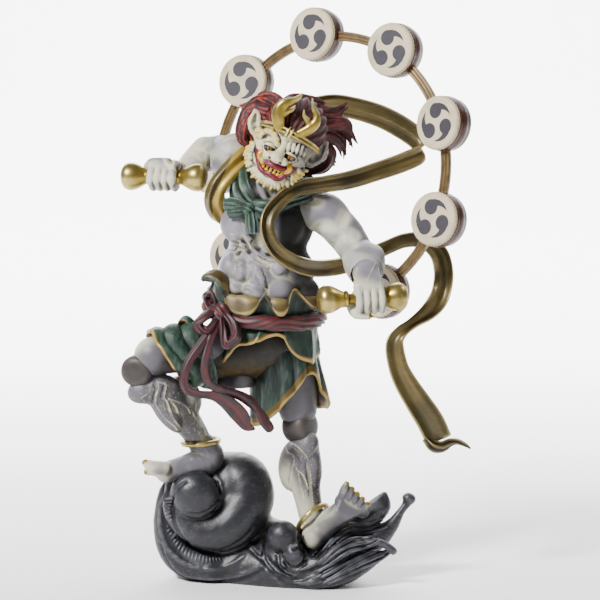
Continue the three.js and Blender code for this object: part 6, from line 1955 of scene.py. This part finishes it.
def cloud_relief(f):
    """Lays the lines of the photograph into the front and the back of the cloud. Returns the strands and
    ribs that lie on it."""
    lines = [(WHORL_SEAM, 0.8, 0.9, True), (WHORL_GROOVE, 0.7, 0.5, True), (WHORL_LIP, 0.55, 0.3, False),
             (RIBS_RIDGE, 0.85, 0.6, False)]
    ribs = [[through(RIBS_INNER, t)[0], through(RIBS_OUTER, t + 0.02)[0]]
            for t in np.linspace(0.03, 0.97, 26)]
    for line in MANTLE:
        lines += [(line, 0.75, 0.9, False), (np.array(line) + (0.6, 3.6), 0.7, 0.9, True)]
    for line in LEAF:
        lines.append((line, 0.4, 0.3, False))
    strands, gaps = [], []
    for k, share in enumerate(np.linspace(0, 1, 12)):
        for courses, at in ((strands, share), (gaps, share + 0.045)):
            line = mix(through(STREAM_TOP, np.linspace(0.05 * (k % 3), 1, 9)),
                       through(STREAM_LOW, np.linspace(0.06 * (k % 2), 1, 9)), at)
            line[:, 1] += 1.4 * np.sin(np.linspace(0, 4, 9) + 0.9 * k)
            courses.append(line)
    locks = []
    for behind in (False, True):
        found = [f.seen(line[0], behind) for line in lines]
        between = [f.seen(line, behind) for line in gaps]
        courses = [f.seen(line, behind) for line in strands]
        bars = [f.seen(line, behind) for line in ribs]
        for places, (_, radius, k, cut) in zip(found, lines):
            f.stroke(places, radius, k, cut)
        for places in between:
            f.stroke(places[:int(len(places) * 0.8)], 0.6, 0.3, True, calm=9, jump=6)
        for k, places in enumerate(courses):
            locks += laid_in(places, 0.8 - 0.22 * (k % 2), 3)
        for places in bars:
            locks += laid_in(places, 0.55, 2)
    return locks


def build_base():
    f = cloud_body()
    locks = cloud_relief(f)
    f.floor()
    shape = f.skin()
    p = shape.points
    lift = ease(p[:, 2], 0.2, 1.5)
    shape.points = p + shape.normals() * (lift * 0.04 * waves(p, 2.6, 72))[:, None]
    relief = shape.relief(1.2, 2.2)
    shape = joined([shape] + locks)
    shape.points[:, 2] = np.maximum(shape.points[:, 2], 0)
    streaks = 0.3 + 0.3 * waves(shape.points, 5, 73)
    shape.marks["relief"] = np.where(shape.marks["lock"] > 0, streaks, np.resize(relief, len(streaks)))
    piece("base", shape, "cloud")


# Stage, light and camera
def build_stage():
    wide, near, deep, high, bend = 7.0, -7.0, 1.6, 2.2, 0.5
    profile = [(near, 0.0)] + [(deep - bend + bend * math.sin(a), bend - bend * math.cos(a))
                               for a in np.linspace(0, math.pi / 2, 16)] + [(deep, high)]
    points = [(x, y, z) for x in (-wide, wide) for y, z in profile]
    n = len(profile)
    faces = [(i, i + 1, n + i + 1, n + i)[::-1] for i in range(n - 1)]
    mesh = bpy.data.meshes.new("backdrop")
    mesh.from_pydata(points, [], faces)
    mesh.shade_smooth()
    mesh.materials.append(paint("stone"))
    backdrop = added("backdrop", mesh)


# The name, place, aim, size and watts of each lamp, in metres.
LAMPS = [
    ("key", (-0.56, -0.56, 0.74), (0, 0, 0.1), 0.22, 21),
    ("fill", (0.7, -0.8, 0.3), (0, 0, 0.09), 0.6, 0.6),
    ("rim", (0.5, 0.2, 0.7), (0, 0, 0.1), 0.25, 2),
    ("floor", (0, 0.9, 0.9), (0, 1.5, 0.2), 1.6, 105),
]
AMBIENT = 0.05


def lamp(name, place, target, size, power):
    light = bpy.data.lights.new(name, "AREA")
    light.shape = "SQUARE"
    light.size = size
    light.energy = power
    aim(added(name, light), place, target)


def aim(thing, place, target):
    thing.location = place
    thing.rotation_euler = (Vector(target) - Vector(place)).to_track_quat("-Z", "Y").to_euler()


def build_view():
    world = bpy.data.worlds.new("studio")
    world.use_nodes = True
    world.node_tree.nodes["Background"].inputs["Color"].default_value = (1, 1, 1, 1)
    world.node_tree.nodes["Background"].inputs["Strength"].default_value = AMBIENT
    bpy.context.scene.world = world
    for row in LAMPS:
        lamp(*row)
    away, height, tilt = CAMERA_AWAY * MM, CAMERA_AIM * MM, math.radians(CAMERA_DOWN)
    data = bpy.data.cameras.new("camera")
    data.angle = 2 * math.atan(PIXEL * MIDDLE * MM / away)
    camera = added("camera", data)
    aim(camera, (0, -away * math.cos(tilt), height + away * math.sin(tilt)), (0, 0, height))
    bpy.context.scene.camera = camera


for build in (
    build_torso, build_arms, build_hands, build_legs, build_knees, build_anklets, build_foot_right,
    build_foot_left, build_head, build_crown, build_hair, build_trousers, build_waist, build_sash,
    build_neck_cloth, build_scarf, build_ring, build_clubs, build_base, build_stage, build_view,
):
    build()
